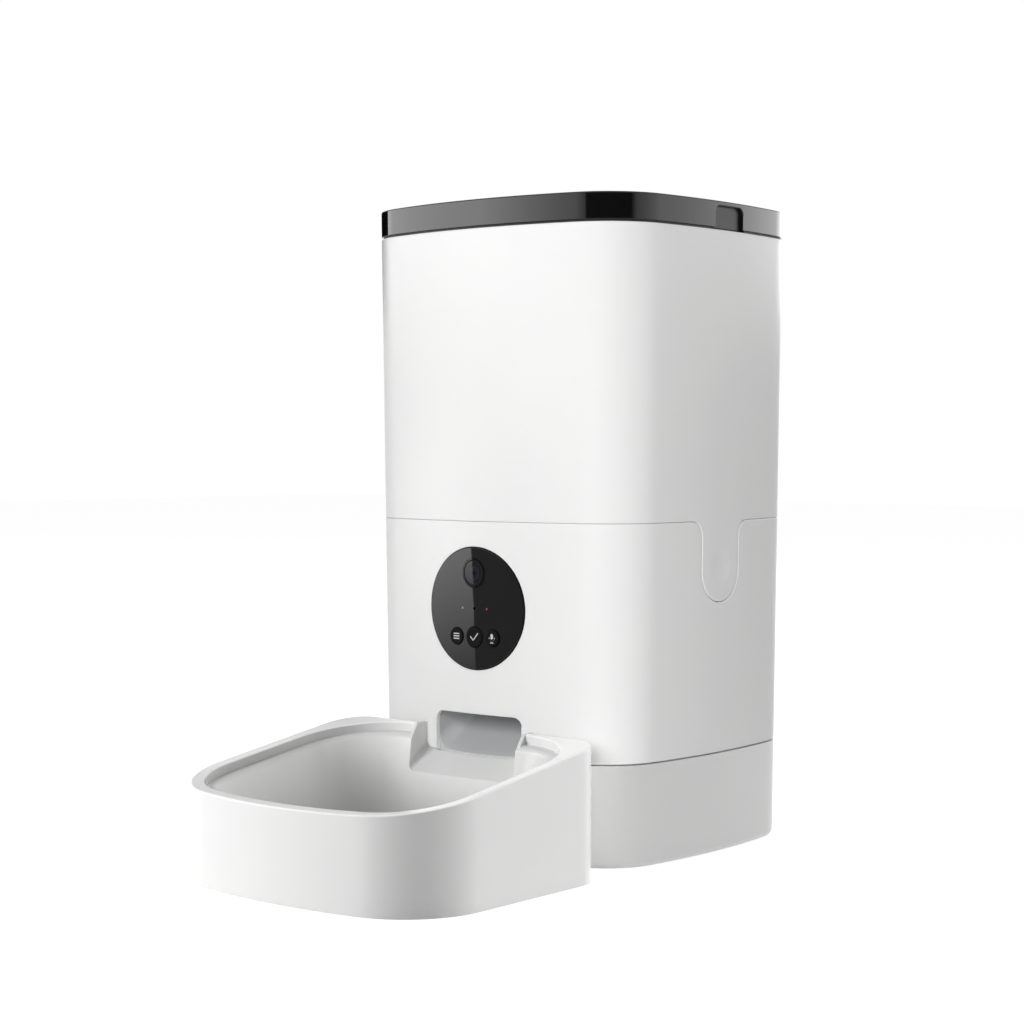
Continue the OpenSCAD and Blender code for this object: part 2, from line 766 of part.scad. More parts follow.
module case_outline(r) {
    circle(r);
    translate([0, motor_y]) circle(r);
    translate([-r, 0]) square([2 * r, motor_y]);
}

module at_ears() for (s = [-1, 1], y = ear_y) translate([s * ear_x, y, 0]) children();

module gearbox_case() color("#c9ccd0") on_axis() difference() {
    union() {
        translate([0, 0, cover_top]) linear_extrude(deck_z - cover_top) case_outline(case_r);
        at_ears() rod_z(ear_r, cover_top, deck_z);
    }
    translate([0, 0, cover_top - over]) linear_extrude(deck_z - case_top_t - cover_top + over)
        case_outline(case_r - case_wall);
    rod_z(shaft_r + bearing, cover_top, deck_z + over);
    at_ears() rod_z(pilot_r, cover_top - over, deck_z - 6);
    rod_z(idler_pin_r, cover_top, deck_z - over, [0, idler_y]);
}

module gearbox_cover() color("#b3b6ba") on_axis() difference() {
    union() {
        translate([0, 0, cover_low]) linear_extrude(cover_t) case_outline(case_r);
        at_ears() rod_z(ear_r, cover_low, cover_top);
    }
    rod_z(journal_r + bearing, cover_low - over, cover_top + over);
    rod_z(idler_pin_r, cover_low + over, cover_top + over, [0, idler_y]);
    rod_z(motor_boss_r + bearing, cover_low - over, cover_top + over, [0, motor_y]);
    at_ears() rod_z(screw_bore_r, cover_low - over, cover_top + over);
}

module gearbox_screws() color(zinc_steel) on_axis()
    at_ears() translate([0, 0, cover_low]) screw(screw_r, screw_head_r, screw_head_h, case_screw_l);

module idler_pin() color(zinc_steel) on_axis()
    rod_z(idler_pin_r, cover_low + over, deck_z - over, [0, idler_y]);

module drive_motor() color("#9fa3a8") on_axis() translate([0, motor_y, 0]) difference() {
    union() {
        rod_z(motor_r, motor_low, cover_low);
        rod_z(motor_boss_r, cover_low - over, cover_low + motor_boss_h);
        rod_z(motor_boss_r + 2, motor_low - 2, motor_low + over);
        for (s = [-1, 1]) translate([s * terminal_x, 0, motor_low]) cube(terminal, center = true);
    }
    rod_z(motor_shaft_r + bearing, cover_low - shaft_depth - over, far);
}

module motor_pinion() color("#c8a24a") on_axis() translate([0, motor_y, 0]) {
    gear(pinion_teeth, fine_module, cover_top + 1, large_z + large_t + 1, 180 / pinion_teeth);
    rod_z(motor_shaft_r, cover_low - shaft_depth, cover_top + 2);
}

module idler_gear() color(acetal) on_axis() translate([0, idler_y, 0]) difference() {
    union() {
        gear(idler_large_teeth, fine_module, large_z, large_z + large_t);
        gear(idler_small_teeth, coarse_module, large_z + large_t, small_top);
    }
    rod_z(idler_pin_r + bearing, cover_top, deck_z);
}

// Output gear on its shaft, with the six-sided dog that drives the rotor
module output_gear() color(acetal) on_axis() {
    gear(output_teeth, coarse_module, output_z, output_z + output_t);
    rod_z(journal_r, cover_low + 0.2, output_z + over);
    rod_z(shaft_r, output_z + output_t - over, hub_low + over);
    translate([0, 0, hub_low - clear / 2]) cylinder(r = dog_r, h = dog_h, $fn = 6);
}

// Hopper: outer shell, funnel, rotor cup and the guard over the outlet
skirt_h = 5;
skirt_t = 1.8;
seat_z = hopper_seam + 6.6;
seat_w = 3;
seat_h = 3.5;
funnel_t = 2.4;
flange_t = 3;
cup_top = deck_top + cup_h;
slope_inset = wall + seat_w + 0.6;

module hopper_shell() color(white_abs) on_axis() {
    low = hopper_seam + seam / 2;
    body_wall(low, hopper_top, 0, wall);
    body_wall(seat_z - seat_h, seat_z, wall / 2, wall + seat_w);
    difference() {
        body_wall(low - skirt_h, seat_z - seat_h / 2, wall + clear, wall + clear + skirt_t);
        block([-far, -tab_w, 0], [far, tab_w, low]);
    }
}

function round_ring(r, z) = [for (p = outline(0)) [r * p.x / norm(p), r * p.y / norm(p), z]];

module hopper_funnel() color("#f1f1ef") on_axis() difference() {
    skin([round_ring(cup_r + cup_wall, cup_top), body_ring(seat_z, slope_inset),
        body_ring(seat_z, wall + clear), body_ring(seat_z + flange_t, wall + clear)]);
    skin([round_ring(cup_r - 0.9, cup_top - over), round_ring(cup_r, cup_top),
        body_ring(seat_z + flange_t, slope_inset), body_ring(seat_z + flange_t + over, slope_inset)]);
}

module rotor_cup() color("#e6e7e8") on_axis() difference() {
    rod_z(cup_r + cup_wall, deck_top, cup_top);
    rod_z(cup_r, cup_floor, cup_top + over);
    rod_z(shaft_r + over, deck_top - over, cup_floor + over);
    front_sector(outlet_in, outlet_out, outlet_half, deck_top - over, cup_floor + over);
}

// Roof over the outlet, so that food leaves only in the rotor's pockets
module outlet_guard() color("#e6e7e8") on_axis() {
    low = hub_low + paddle_h + 2;
    front_sector(hub_r + 4, cup_r - 0.1, outlet_half + 10, low, low + 2);
    front_sector(cup_r - 2, cup_r - 0.1, outlet_half + 10, low, cup_top - 2);
}

// Feed rotor: hub with a six-sided socket, flexible paddles and an arm that stirs the food
groove = 1.5;
hub_h = paddle_h + 6;
arm_r = 2.5;
arm_l = 34;
arm_tilt = 68;
post_h = 12;
stir_r = 4;
paddle_bevel = 6;

module at_paddles() for (i = [0 : paddle_count - 1]) rotate([0, 0, i * 360 / paddle_count]) children();

module rotor_hub() color(acetal) on_axis() difference() {
    translate([0, 0, hub_low]) rotate_extrude()
        polygon([[0, 0], [hub_r, 0], [hub_r, paddle_h], [hub_r - 5, hub_h], [0, hub_h]]);
    translate([0, 0, hub_low - over]) cylinder(r = dog_r + clear, h = dog_h + over + clear, $fn = 6);
    at_paddles() block([hub_r - groove, -paddle_t / 2 - 0.05, hub_low - over],
        [hub_r + over, paddle_t / 2 + 0.05, hub_low + paddle_h + over]);
}

module rotor_paddles() color(silicone) on_axis() at_paddles() difference() {
    block([hub_r - groove, -paddle_t / 2, hub_low], [cup_r - 0.5, paddle_t / 2, hub_low + paddle_h]);
    translate([cup_r - 0.5, 0, hub_low + paddle_h]) rotate([0, 45, 0])
        cube([paddle_bevel, 2 * paddle_t, paddle_bevel], center = true);
}

module stir_arm() color(acetal) on_axis() {
    top = hub_low + hub_h;
    rod_z(stir_r, top, top + post_h);
    translate([0, 0, top + post_h]) sphere(stir_r);
    for (a = [30, 210]) rotate([0, 0, a]) translate([0, 0, top + post_h - stir_r])
        rotate([0, arm_tilt, 0]) {
            cylinder(r = arm_r, h = arm_l);
            translate([0, 0, arm_l]) sphere(arm_r);
        }
}

// Release tabs: the hopper's flexing tongues, hinged along the hopper's lower edge
tab_top = hopper_seam + seam / 2;
catch_w = 12;
catch_h = 3;
catch_t = 1.2;
dimple_r = 40;
dimple_t = 0.9;

module release_tab() intersection() {
    union() {
        difference() {
            body_wall(tab_bottom - over, tab_top, 0, wall);
            translate([side_x(dimple_z) + dimple_r - dimple_t, 0, dimple_z]) sphere(dimple_r, $fn = 96);
        }
        block([side_x(tab_bottom) - wall - catch_t, -catch_w / 2, tab_bottom + 4],
            [side_x(tab_bottom) - wall / 2, catch_w / 2, tab_bottom + 4 + catch_h]);
    }
    along_x(0, far) tab_profile(-seam / 2, tab_top);
}

module right_release_tab() color(white_abs) on_axis() release_tab();
module left_release_tab() color(white_abs) on_axis() mirror([1, 0, 0]) release_tab();

// Lid: glossy cover on a liner that plugs the hopper, with a seal and a desiccant box
lid_gap = 1;
lid_low = hopper_top + lid_gap;
lid_edge = 0.8;
liner_inset = 1.2;
liner_top = lid_low + 3;
plug_inset = wall + 1.5;
plug_t = 2;
plug_low = hopper_top - 8;
gasket_low = hopper_top - 5.5;
gasket_h = 3;
liner_t = 2;
desiccant_top = hopper_top;
desiccant_low = desiccant_top - desiccant_h;
desiccant_wall = 1.8;
cap_t = 2;
spigot_h = 3;
grip = [24, 3, 10];
vent_count = 12;
vent_r = 2;

module notch_profile() {
    r = 4;
    translate([-notch_w / 2, -over]) square([notch_w, notch_h - r + over]);
    translate([r - notch_w / 2, -over]) square([notch_w - 2 * r, notch_h + over]);
    for (s = [-1, 1]) translate([s * (notch_w / 2 - r), notch_h - r]) circle(r);
}

module lid_cover() color(smoked_black) on_axis() difference() {
    body_solid([[lid_low, 0], [total_h - lid_edge, 0], [total_h, lid_edge]]);
    difference() {
        body_solid([[lid_low - over, wall], [total_h - wall, wall]]);
        mirrored_x() along_x(side_x(lid_low) - notch_depth - wall, far)
            translate([notch_y, lid_low - over]) offset_notch();
    }
    mirrored_x() along_x(side_x(lid_low) - notch_depth, far) translate([notch_y, lid_low]) notch_profile();
}

// The wall that boxes in a finger notch
module offset_notch()
    translate([-notch_w / 2 - wall, 0]) square([notch_w + 2 * wall, notch_h + wall + over]);

module lid_liner() color("#f1f1ef") on_axis() difference() {
    body_solid([[plug_low, plug_inset], [hopper_top, plug_inset], [hopper_top, liner_inset],
        [lid_low, liner_inset], [lid_low, wall + clear], [liner_top, wall + clear]]);
    body_solid([[plug_low - over, plug_inset + plug_t], [hopper_top, plug_inset + plug_t]]);
    body_solid([[hopper_top + liner_t, plug_inset + plug_t], [liner_top + over, plug_inset + plug_t]]);
    mirrored_x() along_x(side_x(lid_low) - notch_depth - wall - clear, far) translate([notch_y, lid_low])
        square([notch_w + 2 * wall + 2 * clear, 2 * notch_h], center = true);
}

module lid_gasket() color("#8d9094") on_axis()
    body_wall(gasket_low, gasket_low + gasket_h, wall + clear, plug_inset);

module desiccant_box() color("#f1f1ef") on_axis() difference() {
    rod_z(desiccant_r, desiccant_low, desiccant_top);
    rod_z(desiccant_r - desiccant_wall, desiccant_low - over, desiccant_top - desiccant_wall);
}

// Vented cap that turns in the box's mouth
module desiccant_cap() color("#d5d7d9") on_axis() {
    top = desiccant_low - clear;
    low = top - cap_t;
    spigot_r = desiccant_r - desiccant_wall - clear;
    difference() {
        union() {
            rod_z(desiccant_r, low, top);
            difference() {
                rod_z(spigot_r, low, desiccant_low + spigot_h);
                rod_z(spigot_r - desiccant_wall, top - over / 2, desiccant_low + spigot_h + over);
            }
            translate([0, 0, low]) cube(grip, center = true);
        }
        for (i = [0 : vent_count - 1]) rotate([0, 0, (i + 0.5) * 360 / vent_count])
            rod_z(vent_r, low - over, desiccant_low, [0.7 * desiccant_r, 0]);
    }
}

// Bowl: a holder with a sloping rim, and a tray that lifts out of it
bowl_half = bowl_w / 2;
bowl_back = front_y(0) - bowl_gap;
nose_centre = [0, bowl_nose_r - bowl_reach];
cheek_x = bowl_half - bowl_corner_r;
cheek_gap = bowl_nose_r - bowl_corner_r;
cheek_centre = [cheek_x, nose_centre.y - sqrt(cheek_gap * cheek_gap - cheek_x * cheek_x)];
nose_turn = direction(cheek_centre - nose_centre);
least_back_r = 4;
rim_slope = (rim_back - rim_front) / (bowl_back + bowl_reach);

function rim_z(y) = rim_front + rim_slope * (y + bowl_reach);

tub_back = bowl_back + rim_w - rim_w_back;

function bowl_half_outline(inset, back_r, back) =
    let (back_x = bowl_half - inset - back_r, back_end = back - inset - back_r)
    concat(arc(nose_centre, bowl_nose_r - inset, -90, nose_turn, 6),
        arc(cheek_centre, bowl_corner_r - inset, nose_turn, 0, 8), [[bowl_half - inset, cheek_centre.y]],
        arc([back_x, back_end], back_r, 0, 90, 6), [[back_x, back - inset]]);

function both_sides(right) = concat(right, [for (i = [len(right) - 1 : -1 : 1]) [-right[i].x, right[i].y]]);

// The holder's outline, and the outline inside its rim with rounder back corners
function bowl_outline(inset) =
    both_sides(bowl_half_outline(inset, max(bowl_back_r - inset, least_back_r), bowl_back));
function tub_outline(inset) =
    both_sides(bowl_half_outline(inset, max(tub_back_r + rim_w - inset, least_back_r), tub_back));

// Points of an outline at a depth below the sloping rim
function under_rim(points, drop) = [for (p = points) [p.x, p.y, rim_z(p.y) - drop]];

module below_rim(drop) along_x(-far, far)
    polygon([[-far, -far], [far, -far], [far, rim_z(far) - drop], [-far, rim_z(-far) - drop]]);

module above_rim(drop) along_x(-far, far)
    polygon([[-far, far], [far, far], [far, rim_z(far) - drop], [-far, rim_z(-far) - drop]]);

module column(points, z0) translate([0, 0, z0]) linear_extrude(2 * rim_back) polygon(points);

holder_low = 0.5;
rim_t = 2.4;
rim_land = 1;
rim_grade = rim_fall / (rim_w - rim_land);
ledge_in = rim_w + 2.4;
tray_in = rim_w + clear;
tray_wall = bowl_wall;
tray_flange_t = 1.8;
tray_top_in = ledge_in + clear;
tray_bend = 10;
tray_lean = 5;
bowl_foot_r = 6;
bowl_foot_h = 2.6;
bowl_foot_x = bowl_half - bowl_wall - bowl_foot_r + 1;
bowl_foot_y = [cheek_centre.y + 6, bowl_back - bowl_back_r - 8];
spout_half = spout_w / 2;
cheek_t = 2;
ramp_t = 2.2;
spout_back = bowl_back + bowl_gap - 3.4;
ramp_top = base_seam - 1.6;
ramp_front = spout_back - spout_run;
ramp_low = ramp_top - spout_drop;

module at_bowl_feet() for (s = [-1, 1], y = bowl_foot_y) translate([s * bowl_foot_x, y, 0]) children();

module bowl_holder() color(white_abs) on_axis() difference() {
    union() {
        difference() {
            intersection() {
                column(bowl_outline(0), holder_low);
                below_rim(0);
            }
            intersection() {
                column(bowl_outline(bowl_wall), holder_low - over);
                below_rim(rim_step + rim_t);
            }
        }
        intersection() {
            column(bowl_outline(bowl_wall / 2), holder_low);
            below_rim(rim_step + rim_t / 2);
            at_bowl_feet() rod_z(bowl_foot_r + 1.5, bowl_foot_h - 1, far);
        }
        block([-tongue_w / 2, bowl_back - bowl_wall, tongue_z],
            [tongue_w / 2, front_y(0) + tongue_depth, tongue_z + tongue_t]);
    }
    // The rim's top falls towards the tray
    skin([under_rim(tub_outline(rim_w + over), rim_fall + over * rim_grade),
        under_rim(bowl_outline(rim_land), 0), under_rim(bowl_outline(rim_land), -over)]);
    intersection() {
        column(tub_outline(rim_w), 0);
        above_rim(rim_step);
    }
    column(tub_outline(ledge_in), -over);
    at_bowl_feet() rod_z(bowl_foot_r + clear / 2, 0, bowl_foot_h);
    block([-spout_half - cheek_t - clear, bowl_back - far / 4, ramp_low - ramp_t - 2],
        [spout_half + cheek_t + clear, 0, far]);
}

module bowl_feet() color("#3a3a3c") on_axis() at_bowl_feet() rod_z(bowl_foot_r, 0, bowl_foot_h);

// The tray's basin, drawn in from its flange to its floor
function basin(t, top_drop) = [
    level(tub_outline(tray_top_in + tray_lean + 15 + t), tray_floor + t),
    level(tub_outline(tray_top_in + tray_lean + 6 + t), tray_floor + 2.4 + t),
    level(tub_outline(tray_top_in + tray_lean + t), tray_floor + tray_bend + t / 2),
    under_rim(tub_outline(tray_top_in + t), top_drop)];

// Middle of the basin's back wall at a height
basin_top = rim_z(bowl_back) - rim_step;
function back_wall_y(z) = tub_back - tray_top_in - tray_wall / 2
    - tray_lean * (basin_top - z) / (basin_top - tray_floor - tray_bend);

// The spout's block, from the bowl's back to the middle of the basin's wall, with its top open
module spout_block() intersection() {
    along_x(-spout_half - cheek_t, spout_half + cheek_t) polygon([[spout_back, ramp_top - ramp_t],
        [back_wall_y(ramp_low - ramp_t), ramp_low - ramp_t], [back_wall_y(rim_back), rim_back],
        [spout_back, rim_back]]);
    below_rim(rim_fall);
}

module food_tray() color(white_abs) on_axis() difference() {
    union() {
        difference() {
            union() {
                skin(basin(0, rim_step - tray_flange_t / 2));
                intersection() {
                    column(tub_outline(tray_in), 0);
                    below_rim(rim_step - tray_flange_t);
                    above_rim(rim_step);
                }
            }
            skin(basin(tray_wall, -over));
        }
        spout_block();
    }
    // The channel over the ramp, cut on into the basin
    channel_end = [ramp_front - spout_run, ramp_low - spout_drop];
    along_x(-spout_half, spout_half) polygon([[spout_back + over, ramp_top], [spout_back, ramp_top],
        channel_end, [channel_end.x, far], [spout_back + over, far]]);
}

base_tray();
mid_housing();
deck();
chute();
camera_panel();
lens_window();
lens_barrel();
front_board();
button_switches();
blue_light();
red_light();
microphone();
board_screws();
speaker();
speaker_grille();
gearbox_case();
gearbox_cover();
gearbox_screws();
idler_pin();
drive_motor();
control_board();
battery_box();
battery_contacts();
power_inlet();
base_feet();
base_screws();
deck_screws();
output_gear();
idler_gear();
motor_pinion();
hopper_shell();
hopper_funnel();
rotor_cup();
outlet_guard();
rotor_hub();
rotor_paddles();
stir_arm();
right_release_tab();
left_release_tab();
lid_cover();
lid_liner();
lid_gasket();
desiccant_box();
desiccant_cap();
bowl_holder();
bowl_feet();
food_tray();
left_button();
middle_button();
right_button();
battery_door();
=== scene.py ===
import json
from math import atan2, cos, pi, radians, sin, sqrt, tan

import bmesh
import bpy
from mathutils import Matrix, Vector
from mathutils.geometry import intersect_sphere_sphere_2d


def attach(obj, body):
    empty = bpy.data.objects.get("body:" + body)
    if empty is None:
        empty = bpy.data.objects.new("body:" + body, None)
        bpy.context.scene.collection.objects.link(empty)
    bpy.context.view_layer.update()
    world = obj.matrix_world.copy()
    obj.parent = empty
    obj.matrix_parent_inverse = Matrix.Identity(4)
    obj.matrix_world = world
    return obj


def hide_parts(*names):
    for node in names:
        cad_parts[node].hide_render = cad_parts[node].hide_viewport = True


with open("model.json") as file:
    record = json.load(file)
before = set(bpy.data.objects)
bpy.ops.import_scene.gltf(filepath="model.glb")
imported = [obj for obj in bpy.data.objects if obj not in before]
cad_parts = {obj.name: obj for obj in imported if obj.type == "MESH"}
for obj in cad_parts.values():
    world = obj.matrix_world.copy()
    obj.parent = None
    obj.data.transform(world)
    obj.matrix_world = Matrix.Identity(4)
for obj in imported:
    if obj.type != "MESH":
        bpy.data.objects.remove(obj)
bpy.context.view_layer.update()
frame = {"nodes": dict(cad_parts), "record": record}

# Studio: a white paper sweep with a soft light to the right of the front, a weaker one behind and one above.
# The bowl, its tray and the base have soft lights of their own, and a weak even fill reaches everything.
# The floor keeps a faint shadow under the object.
scene = bpy.context.scene
scene.view_settings.view_transform = "Standard"


def srgb(code):
    """An sRGB hex colour as the linear colour that a socket takes."""
    parts = [int(code[i:i + 2], 16) / 255 for i in (1, 3, 5)]
    return [c / 12.92 if c <= 0.04045 else ((c + 0.055) / 1.055) ** 2.4 for c in parts] + [1.0]


def add(tree, kind, inputs=None, **settings):
    """Adds a node with its settings, and sets or links its inputs."""
    node = tree.nodes.new(kind)
    for name, value in settings.items():
        setattr(node, name, value)
    for name, value in (inputs or {}).items():
        if isinstance(value, bpy.types.NodeSocket):
            tree.links.new(value, node.inputs[name])
        else:
            node.inputs[name].default_value = value
    return node


def new_material(name):
    """An empty node material and its tree."""
    material = bpy.data.materials.new(name)
    material.use_nodes = True
    material.node_tree.nodes.clear()
    return material, material.node_tree


def show_white(tree, other, white):
    """Mixes in a white background for what the camera, a reflection or a see-through part sees."""
    path = add(tree, "ShaderNodeLightPath")
    seen = path.outputs["Is Camera Ray"]
    for ray in ("Is Glossy Ray", "Is Transmission Ray"):
        both = add(tree, "ShaderNodeMath", {0: seen, 1: path.outputs[ray]}, operation="MAXIMUM")
        seen = both.outputs[0]
    return add(tree, "ShaderNodeMixShader", {0: seen, 1: other, 2: white}).outputs[0]


world = bpy.data.worlds.new("white_sweep")
world.use_nodes = True
scene.world = world
world.node_tree.nodes.clear()
fill = add(world.node_tree, "ShaderNodeBackground", {"Color": srgb("#ffffff"), "Strength": 0.09})
white = add(world.node_tree, "ShaderNodeBackground", {"Color": srgb("#ffffff"), "Strength": 1.0})
add(world.node_tree, "ShaderNodeOutputWorld",
    {"Surface": show_white(world.node_tree, fill.outputs[0], white.outputs[0])})

# Matt paper: a white without a sheen, which dims only where the object's shadow falls
floor_paper, tree = new_material("matt_white_paper_sweep")
matt = add(tree, "ShaderNodeBsdfDiffuse", {"Color": srgb("#e6e6e6")})
dim = add(tree, "ShaderNodeBsdfDiffuse", {"Color": srgb("#989898")})
glow = add(tree, "ShaderNodeEmission", {"Color": srgb("#ffffff"), "Strength": 0.955})
both = add(tree, "ShaderNodeAddShader", {0: dim.outputs[0], 1: glow.outputs[0]})
add(tree, "ShaderNodeOutputMaterial", {"Surface": show_white(tree, matt.outputs[0], both.outputs[0])})

bm = bmesh.new()
bmesh.ops.create_grid(bm, x_segments=2, y_segments=2, size=6.0)
floor_mesh = bpy.data.meshes.new("floor")
bm.to_mesh(floor_mesh)
bm.free()
floor_mesh.materials.append(floor_paper)
floor = bpy.data.objects.new("floor", floor_mesh)
scene.collection.objects.link(floor)


stand_y = 0.03


def soft_box(name, azimuth, distance, low, high, width, strength):
    """A soft light that faces the object, at degrees from the front and between two heights in metres."""
    lamp = bpy.data.lights.new(name, "AREA")
    lamp.shape = "RECTANGLE"
    lamp.size = width
    lamp.size_y = high - low
    lamp.energy = strength * pi * width * (high - low)
    box = bpy.data.objects.new(name, lamp)
    turn = radians(azimuth)
    box.location = (distance * sin(turn), stand_y - distance * cos(turn), (low + high) / 2)
    box.rotation_euler = (Vector((0.0, stand_y, 0.2)) - box.location).to_track_quat("-Z", "Y").to_euler()
    box.visible_glossy = False
    scene.collection.objects.link(box)
    return box


body_light = soft_box("body_light", 22, 2.6, 0.2, 1.6, 1.55, 7.5)
soft_box("back_light", 185, 2.6, 0.2, 1.6, 1.55, 3.2)
top_light = soft_box("top_light", 0, 0.02, 1.4, 2.6, 1.2, 3.2)
skirt_lights = [soft_box("skirt_light_left", -40, 1.2, 0.1, 1.0, 0.8, 6.3),
                soft_box("skirt_light_front", 60, 1.5, 0.1, 1.1, 1.0, 0.3),
                soft_box("skirt_light_right", 140, 1.5, 0.1, 1.1, 1.0, 5.8)]
base_lights = [soft_box("base_light_front", -30, 1.8, 1.0, 2.2, 1.2, 6),
               soft_box("base_light_right", 75, 2.6, 0.2, 1.6, 1.55, 2.4)]
tray_lights = [soft_box("tray_light_left", -25, 1.5, 0.1, 0.6, 1.0, 10),
               soft_box("tray_light_right", 105, 1.5, 0.1, 0.6, 1.0, 8)]


def reflector(name, radius, low, high, columns):
    """A curved card that only reflections see.

    Each of its columns has the azimuths of its foot and its top, and then their brightness.
    """
    material, tree = new_material(name)
    glow = add(tree, "ShaderNodeAttribute", attribute_name="glow").outputs["Fac"]
    light = add(tree, "ShaderNodeEmission", {"Strength": glow})
    add(tree, "ShaderNodeOutputMaterial", {"Surface": light.outputs["Emission"]})
    bm = bmesh.new()
    layer = bm.verts.layers.float.new("glow")
    last = None
    for start, end in zip(columns, columns[1:]):
        steps = max(1, int((end[0] - start[0]) / 5))
        for step in range(steps + 1):
            share = step / steps
            foot, top, foot_glow, top_glow = (a + share * (b - a) for a, b in zip(start, end))
            pair = []
            for z, turn, bright in ((low, radians(foot), foot_glow), (high, radians(top), top_glow)):
                pair.append(bm.verts.new((radius * sin(turn), stand_y - radius * cos(turn), z)))
                pair[-1][layer] = bright
            if last and step:
                bm.faces.new((*last, *reversed(pair)))
            last = pair
    mesh = bpy.data.meshes.new(name)
    bm.to_mesh(mesh)
    bm.free()
    mesh.materials.append(material)
    card = bpy.data.objects.new(name, mesh)
    card.visible_camera = card.visible_diffuse = card.visible_transmission = card.visible_shadow = False
    scene.collection.objects.link(card)


reflector("lid_cards", 1.2, 0.36, 0.62, [(turn, turn, glow, glow) for turn, glow in (
    (-150, 0), (-86, 0), (-85, 3.6), (-60, 3.9), (-36, 4.2), (-12, 1.9), (8, 0.7), (10, 0), (76, 0),
    (85, 0.9), (130, 2.0), (165, 3.6), (200, 3.6))])
reflector("panel_cards", 0.68, 0.0, 0.2, [
    (-64, -66, 0.3, 4.3), (-37.8, -40.2, 0.3, 4.3), (-37.75, -40.15, 0.25, 0.25), (0, 0, 0.25, 0.25)])

# Camera: a 76 mm lens, 40 degrees to the right of the front and a little above the object's middle, as the
# fit to the object's edges gave it
camera = bpy.data.objects.new("camera", bpy.data.cameras.new("camera"))
camera.data.lens = 76.2
camera.data.sensor_width = 36
camera.location = (0.7421, -0.8750, 0.2179)
camera.rotation_euler = (radians(90 - 1.801), 0, radians(39.916))
scene.collection.objects.link(camera)
scene.camera = camera

# Base tray: a shallow moulded tub of glossy white ABS that carries the battery box. Its raised lip
# locates the housing, and four long screws come up through its corner posts.
# Shapes are drawn in millimetres on the body's axis, and make_piece brings them into the frame.
mm = 0.001
axis_y = 72.5
half_w, half_d, full_h, wall = 95.7, 93.5, 345, 2.6
lip_out, lip_in = 2.9, 4.7
face_bow, side_bow, corner = 260, 386, 38.8
taper = tan(radians(0.76))
face_centre = Vector((0, face_bow - half_d))
side_centre = Vector((half_w - side_bow, 0))
crossings = intersect_sphere_sphere_2d(face_centre, face_bow - corner, side_centre, side_bow - corner)
corner_centre = min(crossings, key=lambda p: p.y)
face_turn = atan2(*reversed(corner_centre - face_centre))
side_turn = atan2(*reversed(corner_centre - side_centre))


def lean(z):
    """How far the tapered body has drawn in at a height."""
    return taper * (full_h - z)


def front_at(x, z):
    """Y of the bowed front at a place."""
    return face_centre.y - sqrt((face_bow - lean(z)) ** 2 - x * x)


def side_at(y, z):
    """X of the bowed right side at a place."""
    return side_centre.x + sqrt((side_bow - lean(z)) ** 2 - y * y)


def drawn(bm, vert, *points):
    """Draws straight edges from a vertex through points and gives the last vertex."""
    for point in points:
        end = bm.verts.new(point)
        bm.edges.new((vert, end))
        vert = end
    return vert


def swept(bm, vert, centre, turn, steps, axis=(0, 0, 1)):
    """Spins one vertex into an arc of edges and gives the arc's last vertex."""
    arc = bmesh.ops.spin(bm, geom=[vert], cent=centre, axis=axis, angle=turn, steps=steps)
    return [v for v in arc["geom_last"] if isinstance(v, bmesh.types.BMVert)][0]


def body_quarter(bm, z, inset=0.0):
    """A quarter of one level of the body: half a bowed face, a corner and half a bowed side."""
    old = set(bm.edges)
    last = bm.verts.new((0, inset + lean(z) - half_d, z))
    last = swept(bm, last, (*face_centre, z), face_turn + pi / 2, 32)
    last = swept(bm, last, (*corner_centre, z), side_turn - face_turn, 48)
    swept(bm, last, (*side_centre, z), -side_turn, 24)
    return [e for e in bm.edges if e not in old]


def loft(bm, chains, closed=False):
    """Bridges each chain of edges to the next one."""
    for low, high in zip(chains, chains[1:] + chains[:1] if closed else chains[1:]):
        bmesh.ops.bridge_loops(bm, edges=low + high)


def whole(bm, axes):
    """Mirrors a half or a quarter across its axes and closes the holes that are left."""
    for axis in axes:
        bmesh.ops.mirror(bm, geom=bm.verts[:] + bm.edges[:] + bm.faces[:], axis=axis, merge_dist=0.002)
    bmesh.ops.holes_fill(bm, edges=[e for e in bm.edges if e.is_boundary])
    bmesh.ops.recalc_face_normals(bm, faces=bm.faces)


def rounded(bm, edges, radius, segments=3, clamp=True):
    """Rounds edges."""
    bmesh.ops.bevel(bm, geom=edges, offset=radius, offset_type="OFFSET", segments=segments, profile=0.5,
                    affect="EDGES", material=-1, clamp_overlap=clamp)


def sharp_edges(bm, test, angle=40):
    """Edges whose faces meet at more than an angle, where the test holds at both ends."""
    return [e for e in bm.edges if len(e.link_faces) == 2 and e.calc_face_angle() > radians(angle)
            and all(test(v.co) for v in e.verts)]


def edges_along(bm, axis, test):
    """Straight edges that run along an axis and start where the test holds."""
    return [e for e in bm.edges if test(e.verts[0].co)
            and abs((e.verts[0].co - e.verts[1].co).normalized()[axis]) > 0.999]


def box_shape(low, high):
    """A box between two corners."""
    bm = bmesh.new()
    size = Vector(high) - Vector(low)
    place = Matrix.Translation(Vector(low) + size / 2) @ Matrix.Diagonal((*size, 1))
    bmesh.ops.create_cube(bm, size=1, matrix=place)
    return bm


def turned(profile, steps=64):
    """Spins a profile of radius and height about Z into a closed solid."""
    bm = bmesh.new()
    start = bm.verts.new((profile[0][0], 0, profile[0][1]))
    drawn(bm, start, *((r, 0, h) for r, h in profile[1:]))
    bmesh.ops.spin(bm, geom=bm.verts[:] + bm.edges[:], cent=(0, 0, 0), axis=(0, 0, 1), angle=2 * pi,
                   steps=steps, use_merge=True)
    bmesh.ops.remove_doubles(bm, verts=bm.verts, dist=0.001)
    return bm


